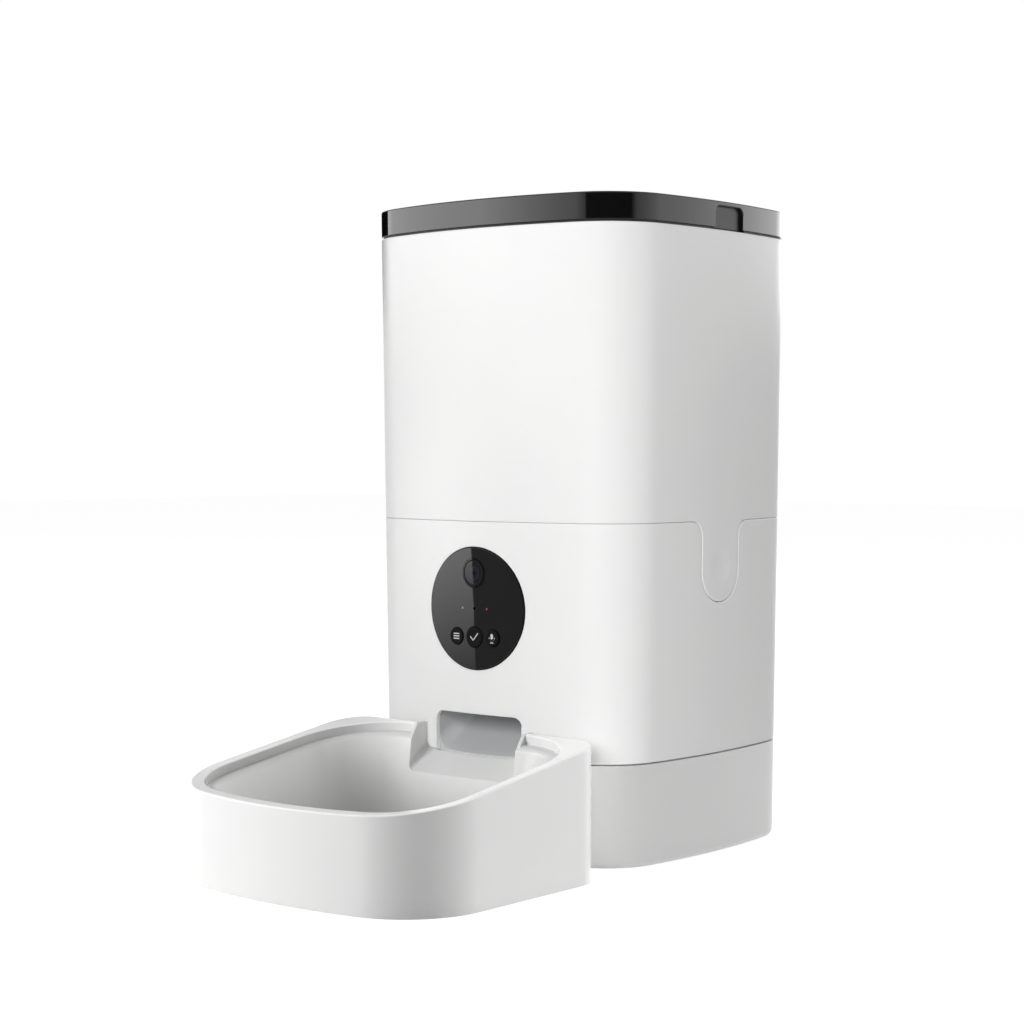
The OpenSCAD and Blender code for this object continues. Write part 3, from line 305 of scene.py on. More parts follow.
def placed(bm, at, turn=0.0, axis="X"):
    """Turns a shape about an axis and moves it to a place."""
    bmesh.ops.transform(bm, matrix=Matrix.Translation(at) @ Matrix.Rotation(turn, 4, axis), verts=bm.verts)
    return bm


def rod_shape(radius, at, length, turn=0.0, axis="X", steps=64):
    """A round rod from a place, along Z before its turn."""
    return placed(turned([(0, 0), (radius, 0), (radius, length), (0, length)], steps), at, turn, axis)


def joined(bm, other):
    """Adds another shape to this one, as a separate closed skin."""
    mesh = bpy.data.meshes.new("joining")
    other.to_mesh(mesh)
    other.free()
    bm.from_mesh(mesh)
    bpy.data.meshes.remove(mesh)


def carved(bm, tool, operation="DIFFERENCE"):
    """Cuts one shape with another, or joins them, and gives the result."""
    made = []
    for shape in (bm, tool):
        bmesh.ops.recalc_face_normals(shape, faces=shape.faces)
        mesh = bpy.data.meshes.new("carving")
        shape.to_mesh(mesh)
        shape.free()
        made.append(bpy.data.objects.new("carving", mesh))
        scene.collection.objects.link(made[-1])
    knife = made[0].modifiers.new("knife", "BOOLEAN")
    knife.object = made[1]
    knife.operation = operation
    result = bmesh.new()
    result.from_object(made[0], bpy.context.evaluated_depsgraph_get())
    for item in made:
        mesh = item.data
        bpy.data.objects.remove(item)
        bpy.data.meshes.remove(mesh)
    bmesh.ops.remove_doubles(result, verts=result.verts, dist=0.01)
    return result


def make_piece(name, bm, material, body, nodes=(), angle=35):
    """Brings a shape into the frame as a finished piece that rides on a body and stands for CAD nodes."""
    bmesh.ops.recalc_face_normals(bm, faces=bm.faces)
    bmesh.ops.translate(bm, verts=bm.verts, vec=(0, axis_y, 0))
    bmesh.ops.scale(bm, verts=bm.verts, vec=(mm, mm, mm))
    mesh = bpy.data.meshes.new(name)
    bm.to_mesh(mesh)
    bm.free()
    mesh.shade_smooth()
    mesh.set_sharp_from_angle(angle=radians(angle))
    mesh.materials.append(material)
    piece = bpy.data.objects.new(name, mesh)
    scene.collection.objects.link(piece)
    even = piece.modifiers.new("even_shading", "WEIGHTED_NORMAL")
    even.keep_sharp = True
    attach(piece, body)
    if nodes:
        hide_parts(*nodes)
    return piece


def moulded_plastic(name, colour, rough, grain=0.3, bump=0.02, ior=1.5, mottle=None):
    """Moulded plastic: an even colour, with the grain and slight gloss changes of its mould.

    A real mould's grain is finer than a pixel, so it is drawn as coarse as it needs to show.
    """
    material, tree = new_material(name)
    place = add(tree, "ShaderNodeTexCoord").outputs["Object"]
    fine = add(tree, "ShaderNodeTexNoise", {"Vector": place, "Scale": 1 / (grain * mm), "Detail": 2.0})
    flow = add(tree, "ShaderNodeTexNoise", {"Vector": place, "Scale": 1 / (45 * mm), "Detail": 1.0})
    gloss = add(tree, "ShaderNodeMapRange",
                {"Value": flow.outputs["Fac"], "To Min": rough * 0.9, "To Max": rough * 1.1})
    shade = add(tree, "ShaderNodeMix", {"Factor": flow.outputs["Fac"], "A": srgb(colour),
                                        "B": srgb(mottle or colour)}, data_type="RGBA")
    relief = add(tree, "ShaderNodeBump",
                 {"Height": fine.outputs["Fac"], "Strength": bump, "Distance": 0.1 * mm})
    plastic = add(tree, "ShaderNodeBsdfPrincipled", {
        "Base Color": shade.outputs["Result"], "Roughness": gloss.outputs["Result"], "IOR": ior,
        "Normal": relief.outputs["Normal"]})
    add(tree, "ShaderNodeOutputMaterial", {"Surface": plastic.outputs["BSDF"]})
    return material


# White ABS from a polished mould: bright and neutral, with a soft sheen rather than a mirror
white_abs = moulded_plastic("white_moulded_abs", "#f2f2f2", 0.3, mottle="#f4f4f3")

corners = [(sx, sy) for sx in (-1, 1) for sy in (-1, 1)]
post_at, foot_at = (73.59, 68.16), (60.59, 64.16)
base_low, base_top, lip_top = 1.5, 54.1, 59.4
tongue_half, tongue_low, tongue_top, tongue_gap = 22, 10, 14, 0.3
hatch_half, hatch_front, hatch_back, hatch_gap = 51.65, -31.05, 32.35, 0.4
bm = bmesh.new()
levels = [(base_low, 1.6), (3.1, 0), (base_top, 0), (base_top, lip_out), (lip_top, lip_out),
          (lip_top, lip_in), (47, lip_in), (44, wall), (base_low + wall, wall)]
chains = [body_quarter(bm, z, inset) for z, inset in levels]
loft(bm, chains)
rounded(bm, chains[1], 1.2, 4)
rounded(bm, chains[2], 0.35, 2)
whole(bm, "YX")
bm = carved(bm, box_shape((-33.5, -120, 54.2), (33.5, -60, 70)))
for sx, sy in corners:
    bm = carved(bm, rod_shape(5, (sx * post_at[0], sy * post_at[1], 3), 51), "UNION")
for sx, sy in corners:
    bm = carved(bm, rod_shape(3.4, (sx * post_at[0], sy * post_at[1], -2), 44.4))
    bm = carved(bm, rod_shape(8.15, (sx * foot_at[0], sy * foot_at[1], -2), 4.5))
slot_half = tongue_half + tongue_gap
bm = carved(bm, box_shape((-slot_half, -120, tongue_low - tongue_gap),
                          (slot_half, -84, tongue_top + tongue_gap)))
well_x, well_y = hatch_half + hatch_gap, hatch_back + hatch_gap
bm = carved(bm, box_shape((-well_x, -well_y, -5), (well_x, well_y, 8)))
inlet = box_shape((34.35, 66, 20.85), (45.65, 120, 27.15))
rounded(inlet, edges_along(inlet, 1, lambda p: True), 3.1, 8)
bm = carved(bm, inlet)
base_tub = make_piece("base_tub", bm, white_abs, "housing", ["base_tray"])

# Middle housing: a tapered four-sided sleeve of white ABS with bowed walls. It has the round hole for the
# camera panel, the mouth of the chute, the grille's hole behind and two pockets that take the hopper's tabs.
mouth_half, mouth_top, mouth_r = 29.5, 76, 5
panel_z, panel_r, grille_z = 131.7, 32.3, 81
housing_low, housing_top, hopper_low = 54.7, 177.42, 177.55
seam_z, tab_half, tab_end, flare = 177.4, 16.75, 151.15, 8.5
pocket_gap, tab_gap = 0.12, 0.18


def extruded(bm, faces, run):
    """Draws faces out along a run and gives the shape."""
    end = bmesh.ops.extrude_face_region(bm, geom=faces)["geom"]
    bmesh.ops.translate(bm, verts=[v for v in end if isinstance(v, bmesh.types.BMVert)], vec=run)
    return bm


def tab_shape(grow, top, x0, x1):
    """The round-ended, flared tab's outline, grown by a margin and drawn out along X."""
    bm = bmesh.new()
    flare_y, flare_z = tab_half + flare, seam_z - flare
    side, r = tab_half + grow, flare - grow
    start = bm.verts.new((x0, flare_y, top))
    last = drawn(bm, start, (x0, flare_y, flare_z + r)) if top > flare_z + r + 0.01 else start
    last = swept(bm, last, (x0, flare_y, flare_z), pi / 2, 12, (1, 0, 0))
    last = drawn(bm, last, (x0, side, tab_end))
    swept(bm, last, (x0, 0, tab_end), -pi / 2, 24, (1, 0, 0))
    bmesh.ops.mirror(bm, geom=bm.verts[:] + bm.edges[:], axis="Y", merge_dist=0.002)
    bm.edges.new([v for v in bm.verts if len(v.link_edges) == 1])
    return extruded(bm, bmesh.ops.edgeloop_fill(bm, edges=bm.edges)["faces"], (x1 - x0, 0, 0))


def on_side(p):
    """Whether a point lies on the body's outer side."""
    return abs(abs(p.x) - side_at(p.y, p.z)) < 0.05


def on_front(p):
    """Whether a point lies on the body's outer front."""
    return abs(p.y - front_at(p.x, p.z)) < 0.05


bm = bmesh.new()
levels = [(housing_low, 0), (housing_top, 0), (housing_top, wall), (104, wall), (104, wall + 6),
          (100, wall + 6), (100, wall), (housing_low, wall)]
chains = [body_quarter(bm, z, inset) for z, inset in levels]
loft(bm, chains, closed=True)
rounded(bm, chains[0] + chains[1], 0.8, 3)
whole(bm, "YX")
for side in (-1, 1):
    pocket = box_shape((84.8, -21.75, 129.4), (91.4, 21.75, 168.9))
    pocket = carved(pocket, box_shape((86.6, -19.95, 131.2), (99, 19.95, 180)))
    bmesh.ops.scale(pocket, vec=(side, 1, 1), verts=pocket.verts)
    bm = carved(bm, pocket, "UNION")
    bm = carved(bm, tab_shape(pocket_gap, 178.5, side * 88.4, side * 120))
mouth = box_shape((-mouth_half, -120, 40), (mouth_half, -60, mouth_top))
rounded(mouth, edges_along(mouth, 1, lambda p: p.z > 50), mouth_r, 8)
bm = carved(bm, mouth)
bm = carved(bm, rod_shape(panel_r + 0.25, (0, -60, panel_z), 60, pi / 2, steps=128))
bm = carved(bm, rod_shape(17.25, (0, 60, grille_z), 60, -pi / 2))
rounded(bm, sharp_edges(bm, lambda p: on_side(p) and abs(p.y) < 26 and 130 < p.z < 176.5), 0.8, 3, False)
rounded(bm, sharp_edges(bm, lambda p: on_front(p) and abs(p.x) < 31 and 55.5 < p.z < 78), 0.5, 3, False)
make_piece("middle_housing", bm, white_abs, "housing", ["mid_housing"])


# Chute: a sloping duct of grey ABS from the deck's outlet to the mouth. Its lower corners are rounded, so
# that food slides out.
def drawn_out(points, x0, x1):
    """An outline in Y and Z, drawn out along X."""
    bm = bmesh.new()
    face = bm.faces.new([bm.verts.new((x0, y, z)) for y, z in points])
    return extruded(bm, [face], (x1 - x0, 0, 0))


# Grey ABS from an unpolished mould: dull, so that the mouth reads as one even shade
inner_grey = moulded_plastic("grey_moulded_abs", "#c8c9ca", 0.45, grain=0.4, bump=0.06, mottle="#c4c5c6")
bm = drawn_out([(-93.5, 47.67), (-20, 96.93), (-20, 104), (-60, 104), (-60, 96), (-81.05, 78), (-93.5, 78)],
               -mouth_half - 2, mouth_half + 2)
way = drawn_out([(-93.6, 50.0), (-22, 98), (-22, 106), (-58, 106), (-58, 96), (-81.05, 76), (-93.6, 76)],
                -mouth_half, mouth_half)
slide = Vector((0, 71.6, 48)).normalized()
rounded(way, [e for e in way.edges
              if abs((e.verts[0].co - e.verts[1].co).normalized().dot(slide)) > 0.999], 11, 10)
bm = carved(bm, way)
inside = bmesh.new()
loft(inside, [body_quarter(inside, z, lip_out) for z in (46.4, 104)])
whole(inside, "YX")
bm = carved(bm, inside, "INTERSECT")
make_piece("chute_duct", bm, inner_grey, "housing", ["chute"])

# Hopper: the tapered upper shell of white ABS, open above and below, with a skirt that drops into the
# housing and a seat for the funnel.
bm = bmesh.new()
hopper_top, skirt_low, tab_span = 330, 172.7, 33.5
levels = [(hopper_low, 0), (hopper_top, 0), (hopper_top, wall), (184, wall), (184, wall + 3),
          (180.5, wall + 3), (180.5, lip_in), (skirt_low, lip_in), (skirt_low, lip_out),
          (hopper_low, lip_out)]
chains = [body_quarter(bm, z, inset) for z, inset in levels]
loft(bm, chains, closed=True)
rounded(bm, chains[1] + chains[2], 0.7, 3)
rounded(bm, [e for e in chains[0] if all(v.co.y < -29 for v in e.verts)], 0.12, 2)
whole(bm, "YX")
for x0, x1 in ((70, 120), (-120, -70)):
    bm = carved(bm, box_shape((x0, -tab_span, 160), (x1, tab_span, hopper_low - 0.02)))
make_piece("hopper_body", bm, white_abs, "hopper", ["hopper_shell"])

# Release tabs: two tongues that hang from the hopper's edge into the housing's pockets. Each has a shallow
# dimple for the thumb and a small catch behind its end.
dimple_r, dimple_deep, dimple_z = 90, 0.65, 153
for name, side in (("right", 1), ("left", -1)):
    bm = bmesh.new()
    levels = [(130, 0), (hopper_low, 0), (hopper_low, wall), (130, wall)]
    loft(bm, [body_quarter(bm, z, inset) for z, inset in levels], closed=True)
    whole(bm, "YX")
    bm = carved(bm, tab_shape(-tab_gap, hopper_low, 70, 120), "INTERSECT")
    dimple = bmesh.new()
    bmesh.ops.create_uvsphere(dimple, u_segments=128, v_segments=64, radius=dimple_r)
    bm = carved(bm, placed(dimple, (side_at(0, dimple_z) + dimple_r - dimple_deep, 0, dimple_z), pi / 2, "Y"))
    rounded(bm, sharp_edges(bm, lambda p: on_side(p) and p.z < 177), 0.8, 3, False)
    joined(bm, box_shape((86.4, -6, 138.4), (89, 6, 141.4)))
    bmesh.ops.scale(bm, vec=(side, 1, 1), verts=bm.verts)
    make_piece(f"{name}_tab", bm, white_abs, f"{name}_tab", [f"{name}_release_tab"])


# Lid: a glossy smoked acrylic cap with a crisp edge and a finger notch in each side. It sits a millimetre
# above the hopper on a black liner with a seal, and closes the liner's wall behind each notch.
def polished(name, colour, rough, ior, haze_size=30):
    """Polished dark plastic or glass, with the slight unevenness of a polished face."""
    material, tree = new_material(name)
    place = add(tree, "ShaderNodeTexCoord").outputs["Object"]
    haze = add(tree, "ShaderNodeTexNoise", {"Vector": place, "Scale": 1 / (haze_size * mm), "Detail": 2.0})
    gloss = add(tree, "ShaderNodeMapRange",
                {"Value": haze.outputs["Fac"], "To Min": rough * 0.8, "To Max": rough * 1.2})
    shell = add(tree, "ShaderNodeBsdfPrincipled", {
        "Base Color": srgb(colour), "Roughness": gloss.outputs["Result"], "IOR": ior})
    add(tree, "ShaderNodeOutputMaterial", {"Surface": shell.outputs["BSDF"]})
    return material


def finish_faces(piece, material, test):
    """Gives a piece's faces where the test holds a second material."""
    piece.data.materials.append(material)
    for face in piece.data.polygons:
        if test(face):
            face.material_index = 1


# Smoked acrylic: almost black, with sharp reflections where it is polished. The notch is rough, and its
# darker colour and weaker reflection are painted shade
smoked_acrylic = polished("smoked_acrylic", "#101011", 0.05, 1.5)
smoked_matt_painted_shade = polished("unpolished_smoked_acrylic_painted_shade", "#0e0e0f", 0.35, 1.4)
notch_x, notch_y0, notch_y1, notch_top = 93.3, -9, 17, 342.5
lid_low = 331
bm = bmesh.new()
levels = [(full_h, 0), (lid_low, 0), (lid_low, wall), (full_h - wall, wall)]
chains = [body_quarter(bm, z, inset) for z, inset in levels]
loft(bm, chains)
rounded(bm, chains[1], 0.3, 2)
whole(bm, "YX")
rounded(bm, sharp_edges(bm, lambda p: p.z > full_h - 0.1), 0.8, 4)
for side in (-1, 1):
    back = box_shape((88.4, notch_y0 - wall, lid_low), (94.5, notch_y1 + wall, notch_top + 0.5))
    plug = box_shape((89.2, notch_y0 - 3.2, lid_low - 9), (91.1, notch_y1 + 3.2, lid_low + 1))
    notch = box_shape((notch_x, notch_y0, lid_low - 11), (120, notch_y1, notch_top))
    rounded(notch, edges_along(notch, 0, lambda p: p.z > lid_low - 1), 4, 8)
    for shape in (back, plug, notch):
        bmesh.ops.scale(shape, vec=(side, 1, 1), verts=shape.verts)
    bm = carved(bm, back, "UNION")
    bm = carved(bm, plug, "UNION")
    bm = carved(bm, notch)
rounded(bm, sharp_edges(bm, lambda p: on_side(p) and notch_y0 - 1 < p.y < notch_y1 + 1
                        and lid_low + 0.5 < p.z < notch_top + 1), 0.5, 3, False)
lid_shell = make_piece("lid_shell", bm, smoked_acrylic, "lid", ["lid_cover"])
# The notch's faces take the rough, darker copy, whose darkness is painted shade
finish_faces(lid_shell, smoked_matt_painted_shade, lambda face: abs(abs(face.center.x) - notch_x * mm) < 0.1 * mm
             and notch_y0 < face.center.y / mm - axis_y < notch_y1)

# Camera panel: a disc of black polished ABS, bowed to follow the front, with holes for the lens window,
# two status lights, a microphone and three keys.
proud, panel_thick = 0.6, 2.2
lens_z, key_z, light_x = 150.3, 116.7, 8.4
keys = [("left", -12.2, 4.6), ("middle", 0, 5.6), ("right", 12.2, 4.6)]
bm = turned([(r, 0) for r in range(0, 32, 4)] + [(31.7, 0), (31.9, 0), (32.2, -0.1), (panel_r, -0.4)]
            + [(r, -panel_thick) for r in (panel_r, 26, 18, 10, 0)], 128)
placed(bm, (0, 0, panel_z), pi / 2)
for v in bm.verts:
    v.co.y += front_at(v.co.x, v.co.z) - proud
holes = [(0, lens_z, 7.9)] + [(x, panel_z, 0.8) for x in (-light_x, light_x, 0)]
for x, z, r in holes + [(x, key_z, r + 0.2) for _, x, r in keys]:
    bm = carved(bm, rod_shape(r, (x, -60, z), 60, pi / 2, steps=48))
# Polished black ABS: dark and even with a clear reflection. Edges and holes: painted shade, a darker black
# without reflection
panel_black = polished("polished_black_abs", "#141416", 0.03, 1.5)
painted_shade_black = moulded_plastic("matt_black_painted_shade", "#060607", 0.6, ior=1.2)
panel_disc = make_piece("panel_disc", bm, panel_black, "housing", ["camera_panel"])
# The disc's edges and holes take the darker black as painted shade
finish_faces(panel_disc, painted_shade_black, lambda face: abs(face.normal.y) < 0.985)


# Camera: a slightly domed window of dark coated glass in a thin black groove of painted shade. The lens's
# dark rings show through its middle, with lighter rings that are painted reflections.
def lens_with_painted_reflections(name):
    """Dark glass whose colour changes in rings from the middle: the lens behind it, and lighter rings of
    painted reflection.
    """
    material, tree = new_material(name)
    place = add(tree, "ShaderNodeTexCoord").outputs["Object"]
    offset = add(tree, "ShaderNodeVectorMath", {0: place, 1: (0, 0, -lens_z * mm)}, operation="ADD")
    flat = add(tree, "ShaderNodeVectorMath", {0: offset.outputs[0], 1: (1, 0, 1)}, operation="MULTIPLY")
    radius = add(tree, "ShaderNodeVectorMath", {0: flat.outputs[0]}, operation="LENGTH")
    share = add(tree, "ShaderNodeMapRange", {"Value": radius.outputs["Value"], "From Max": 8 * mm})
    rings = add(tree, "ShaderNodeValToRGB", {"Fac": share.outputs["Result"]})
    # The lighter stops are painted reflections of the lens's elements; the darker ones are the lens itself
    stops = [(0.0, "#07070b"), (0.16, "#0b0b14"), (0.2, "#23242f"), (0.33, "#15151d"), (0.37, "#2a2b33"),
             (0.5, "#17171b"), (0.78, "#1d1d21"), (0.84, "#0a0a0b"), (1.0, "#0a0a0b")]
    ramp = rings.color_ramp
    while len(ramp.elements) < len(stops):
        ramp.elements.new(0.5)
    for element, (position, colour) in zip(ramp.elements, stops):
        element.position = position
        element.color = srgb(colour)
    glass = add(tree, "ShaderNodeBsdfPrincipled", {
        "Base Color": rings.outputs["Color"], "Roughness": 0.03, "IOR": 1.38})
    add(tree, "ShaderNodeOutputMaterial", {"Surface": glass.outputs["BSDF"]})
    return material


lens_glass = lens_with_painted_reflections("lens_glass_painted_reflections")
groove = 6.45, 7.05
bm = turned([(0, 0.08), (1.5, 0.077), (3, 0.068), (4.5, 0.053), (5.6, 0.035), (6.3, 0.02), (groove[0], 0),
             (6.55, -0.4), (6.95, -0.4), (groove[1], 0), (7.3, 0), (7.65, -0.03), (7.8, -0.2), (7.8, -1.4),
             (0, -1.4)], 96)
placed(bm, (0, 0, lens_z), pi / 2)
for v in bm.verts:
    v.co.y += front_at(v.co.x, v.co.z) - proud
lens_window = make_piece("lens_window_glass", bm, lens_glass, "housing", ["lens_window"])
# The lens's groove takes the darker black as painted shade
finish_faces(lens_window, painted_shade_black, lambda face: groove[0] * mm
             < (face.center - Vector((0, face.center.y, lens_z * mm))).length < groove[1] * mm)


# Status lights: two tiny domes of clear coloured plastic, a pale blue one and a dim red one. Each is pressed
# into its hole in the panel and lit from behind.
def lit_dome(name, colour, glow):
    """Coloured clear plastic, dimly lit from behind."""
    material, tree = new_material(name)
    dome = add(tree, "ShaderNodeBsdfPrincipled", {
        "Base Color": srgb(colour), "Roughness": 0.15,
        "Emission Color": srgb(colour), "Emission Strength": glow})
    add(tree, "ShaderNodeOutputMaterial", {"Surface": dome.outputs["BSDF"]})
    return material


for name, x, colour, glow in (("blue", -light_x, "#5f8f9c", 0.25), ("red", light_x, "#7a1029", 0.2)):
    bm = turned([(0, 0.1), (0.35, 0.07), (0.6, -0.04), (0.7, -0.25), (0.7, -2.0), (0, -2.0)], 32)
    make_piece(f"{name}_status_dome", placed(bm, (x, front_at(x, panel_z) - proud, panel_z), pi / 2),
               lit_dome(f"{name}_lit_plastic", colour, glow), "housing", [f"{name}_light"])

# Keys: three round black keys with softly rounded edges and a shallow dish for the finger. Each has a plain
# pale pictogram printed on it: a list, a tick and a microphone.
key_proud, print_thick, stroke_w = 0.5, 0.04, 0.55
# Matt ABS: a black without reflections, on which the pale print stands out
key_black = moulded_plastic("matt_black_key", "#050506", 0.6, grain=0.2, bump=0.05, ior=1.2)
print_white = moulded_plastic("pale_key_print", "#cfcfcf", 0.5, grain=0.1, bump=0.05)


def outlined(points, height):
    """A flat outline drawn out to a height."""
    bm = bmesh.new()
    face = bm.faces.new([bm.verts.new((x, y, 0)) for x, y in points])
    return extruded(bm, [face], (0, 0, height))


def stroke(points, width, height):
    """A printed line through points, as one flat bar with a flat end for each part."""
    bm = bmesh.new()
    for start, end in zip(points, points[1:]):
        run = Vector(end) - Vector(start)
        out = run.orthogonal().normalized() * width / 2
        ends = [Vector(start) - run.normalized() * width / 2, Vector(end) + run.normalized() * width / 2]
        joined(bm, outlined([ends[0] - out, ends[1] - out, ends[1] + out, ends[0] + out], height))
    return bm


def ring_points(radius, start, end, centre=(0, 0), steps=14):
    """Points on an arc."""
    return [(centre[0] + radius * cos(radians(start + (end - start) * i / steps)),
             centre[1] + radius * sin(radians(start + (end - start) * i / steps))) for i in range(steps + 1)]


pictograms = {
    "left": [[(-1.7, 1.3), (1.7, 1.3)], [(-1.7, 0), (1.7, 0)], [(-1.7, -1.3), (1.7, -1.3)]],
    "middle": [[(-2.3, 0.1), (-0.6, -1.7), (2.5, 1.9)]],
    "right": [ring_points(1.75, 180, 360, (0, 0.1)), [(0, -1.65), (0, -2.4)], [(-0.8, -2.4), (0.8, -2.4)]]}
for name, x, r in keys:
    top = front_at(0, key_z) - proud - key_proud
    bm = turned([(0, -0.1), (r * 0.45, -0.07), (r * 0.75, -0.01), (r - 0.6, 0), (r - 0.3, -0.06),
                 (r - 0.1, -0.22), (r, -0.5), (r, -4), (0, -4)], 64)
    make_piece(f"{name}_key", placed(bm, (x, top, key_z), pi / 2), key_black, f"{name}_button",
               [f"{name}_button"])
    bm = bmesh.new()
    for line in pictograms[name]:
        joined(bm, stroke(line, stroke_w, print_thick))
    if name == "right":
        capsule = ring_points(0.85, 0, 180, (0, 1.5)) + ring_points(0.85, 180, 360, (0, 0.3))
        joined(bm, outlined(capsule, print_thick))
    make_piece(f"{name}_key_print", placed(bm, (x, top + 0.06, key_z), pi / 2), print_white,
               f"{name}_button")

# Bowl holder: a deep skirt of glossy white ABS with a flat rim that slopes down to the front and narrows
# behind the tray. A tongue at its back slides into the base.
bowl_half, bowl_back, bowl_back_r, reach = 88.5, -92.93, 19, 238.5
tub_back, tub_back_r = -88.53, 47
nose_r, bowl_corner, rim_w = 290, 45, 7
nose_centre = Vector((0, nose_r - reach))
cheek_x = bowl_half - bowl_corner
cheek_centre = Vector((cheek_x, nose_centre.y - sqrt((nose_r - bowl_corner) ** 2 - cheek_x ** 2)))
nose_turn = atan2(*reversed(cheek_centre - nose_centre))
rim_front, rim_back, seat_drop, skirt_wall = 46.6, 69.6, 6.8, 2.4
rim_slope = (rim_back - rim_front) / (bowl_back + reach)


def bowl_side(bm, inset, tub=False, height=None, drop=0.0):
    """Half an outline of the holder or of the tub in it, level or at a drop below the sloping rim."""
    old, made = set(bm.edges), set(bm.verts)
    back, back_r = (tub_back, tub_back_r) if tub else (bowl_back, bowl_back_r)
    back, back_r = back - inset, back_r - inset
    back_x, back_end = bowl_half - inset - back_r, back - back_r
    last = bm.verts.new((0, inset - reach, 0))
    last = swept(bm, last, (0, nose_centre.y, 0), nose_turn + pi / 2, 16)
    last = swept(bm, last, (*cheek_centre, 0), -nose_turn, 20)
    last = drawn(bm, last, (bowl_half - inset, back_end, 0))
    last = swept(bm, last, (back_x, back_end, 0), pi / 2, 14)
    drawn(bm, last, (0, back, 0))
    for v in bm.verts:
        if v not in made:
            v.co.z = height if height is not None else rim_front + rim_slope * (v.co.y + reach) - drop
    return [e for e in bm.edges if e not in old]


# Gloss ABS from a well polished mould: the same white as the body's, with a clearer sheen
bowl_abs = moulded_plastic("gloss_white_abs", "#f2f2f2", 0.14, grain=2, bump=0.01, mottle="#f4f4f3")
bm = bmesh.new()
seat_in, seat_low = rim_w + skirt_wall, seat_drop + skirt_wall
chains = [bowl_side(bm, 0, height=0.3), bowl_side(bm, 0), bowl_side(bm, rim_w, True, drop=0.4),
          bowl_side(bm, rim_w, True, drop=seat_drop), bowl_side(bm, seat_in, True, drop=seat_drop),
          bowl_side(bm, seat_in, True, drop=seat_low), bowl_side(bm, skirt_wall, drop=seat_low),
          bowl_side(bm, skirt_wall, height=0.3)]
loft(bm, chains, closed=True)
rounded(bm, chains[1], 0.9, 4)
rounded(bm, chains[2], 0.8, 4)
rounded(bm, chains[0], 0.3, 2)
whole(bm, "X")
bm = carved(bm, box_shape((-38.1, -130, 37.1), (38.1, -60, 100)))
joined(bm, box_shape((-tongue_half, -95.3, tongue_low), (tongue_half, -81.9, tongue_top)))
bowl_skirt = make_piece("bowl_skirt", bm, bowl_abs, "bowl", ["bowl_holder"])

# Food tray: a smooth white ABS basin with a flange that rests in the holder's rim, and at the back a
# spout with two cheeks that takes the food from the chute.
flange_drop, floor_top, tray_wall, lean_in = 5.0, 9.4, 2.4, 7
flange_in, outer_in, inner_in = 7.06, 9.7, 12.1
spout_half, cheek = 36, 2
bm = bmesh.new()
chains = [bowl_side(bm, outer_in + lean_in, True, height=floor_top - tray_wall),
          bowl_side(bm, outer_in, True, drop=seat_drop), bowl_side(bm, flange_in, True, drop=seat_drop),
          bowl_side(bm, flange_in, True, drop=flange_drop), bowl_side(bm, inner_in, True, drop=flange_drop),
          bowl_side(bm, inner_in + lean_in, True, height=floor_top)]
loft(bm, chains)
rounded(bm, chains[4], 3.2, 6)
rounded(bm, chains[3], 0.3, 2)
whole(bm, "X")
rounded(bm, sharp_edges(bm, lambda p: abs(p.z - floor_top) < 0.01), 13, 10)
rounded(bm, sharp_edges(bm, lambda p: abs(p.z - floor_top + tray_wall) < 0.01), 14, 8)
spout = drawn_out([(-84, 50.9), (-102.2, 41.2), (-99.5, 63.5), (-95.6, 68.9), (-84, 69.6)],
                  -spout_half - cheek, spout_half + cheek)
spout = carved(spout, rod_shape(face_bow - lean(60) + 1.75, (0, face_centre.y, 30), 60, steps=720))
bm = carved(bm, spout, "UNION")
channel = box_shape((-spout_half, -40, 0), (spout_half, 40, 60))
rounded(channel, edges_along(channel, 1, lambda p: p.z < 1), 3, 6)
bm = carved(bm, placed(channel, (0, -92.33, 53.5), atan2(11.5, 13.7)))
rounded(bm, sharp_edges(bm, lambda p: abs(p.x) < spout_half - 7 and p.y > -92 and p.z > 53), 0.5, 2, False)
tray_basin = make_piece("tray_basin", bm, bowl_abs, "tray", ["food_tray"])


# The bowl, its tray and the base have their own lights, as a photographer would flag the others off them
def lit_by(lamps, pieces, state):
    """Has lamps light only some pieces, or all but those."""
    linked = bpy.data.collections.new(f"{lamps[0].name}_{state.lower()}")
    for piece in pieces:
        linked.objects.link(piece)
    for entry in linked.collection_objects:
        entry.light_linking.link_state = state
    for lamp in lamps:
        lamp.light_linking.receiver_collection = linked


lit_by(skirt_lights, [bowl_skirt], "INCLUDE")
lit_by(tray_lights, [tray_basin], "INCLUDE")
lit_by(base_lights, [base_tub], "INCLUDE")
lit_by([body_light], [bowl_skirt, tray_basin, base_tub], "EXCLUDE")
lit_by([top_light], [tray_basin], "EXCLUDE")

# Feet: round pads of moulded rubber with a soft edge and a raised ring as a sole, dark grey with a grain that
# takes no reflections. Four are pressed into the base's hollows and four stand under the bowl.
rubber = moulded_plastic("dark_foot_rubber", "#38383a", 0.75, grain=0.4, bump=0.3)
bm = bmesh.new()
for sx, sy in corners:
    pad = turned([(0, 0.35), (5.2, 0.35), (5.6, 0), (7.2, 0), (7.7, 0.15), (8, 0.7), (8, 2.5), (0, 2.5)], 48)
    joined(bm, placed(pad, (sx * foot_at[0], sy * foot_at[1], 0)))
make_piece("base_pads", bm, rubber, "housing", ["base_feet"])
bm = bmesh.new()
bowl_pad_r = 6
bowl_pad_x = bowl_half - skirt_wall - bowl_pad_r + 1
for sx in (-1, 1):
    for y in (cheek_centre.y + 6, bowl_back - bowl_back_r - 8):
        pad = turned([(0, 0.3), (3.6, 0.3), (4, 0), (5.4, 0), (5.8, 0.15), (bowl_pad_r, 0.6),
                      (bowl_pad_r, 2.6), (0, 2.6)], 40)
        joined(bm, placed(pad, (sx * bowl_pad_x, y, 0)))
make_piece("bowl_pads", bm, rubber, "bowl", ["bowl_feet"])

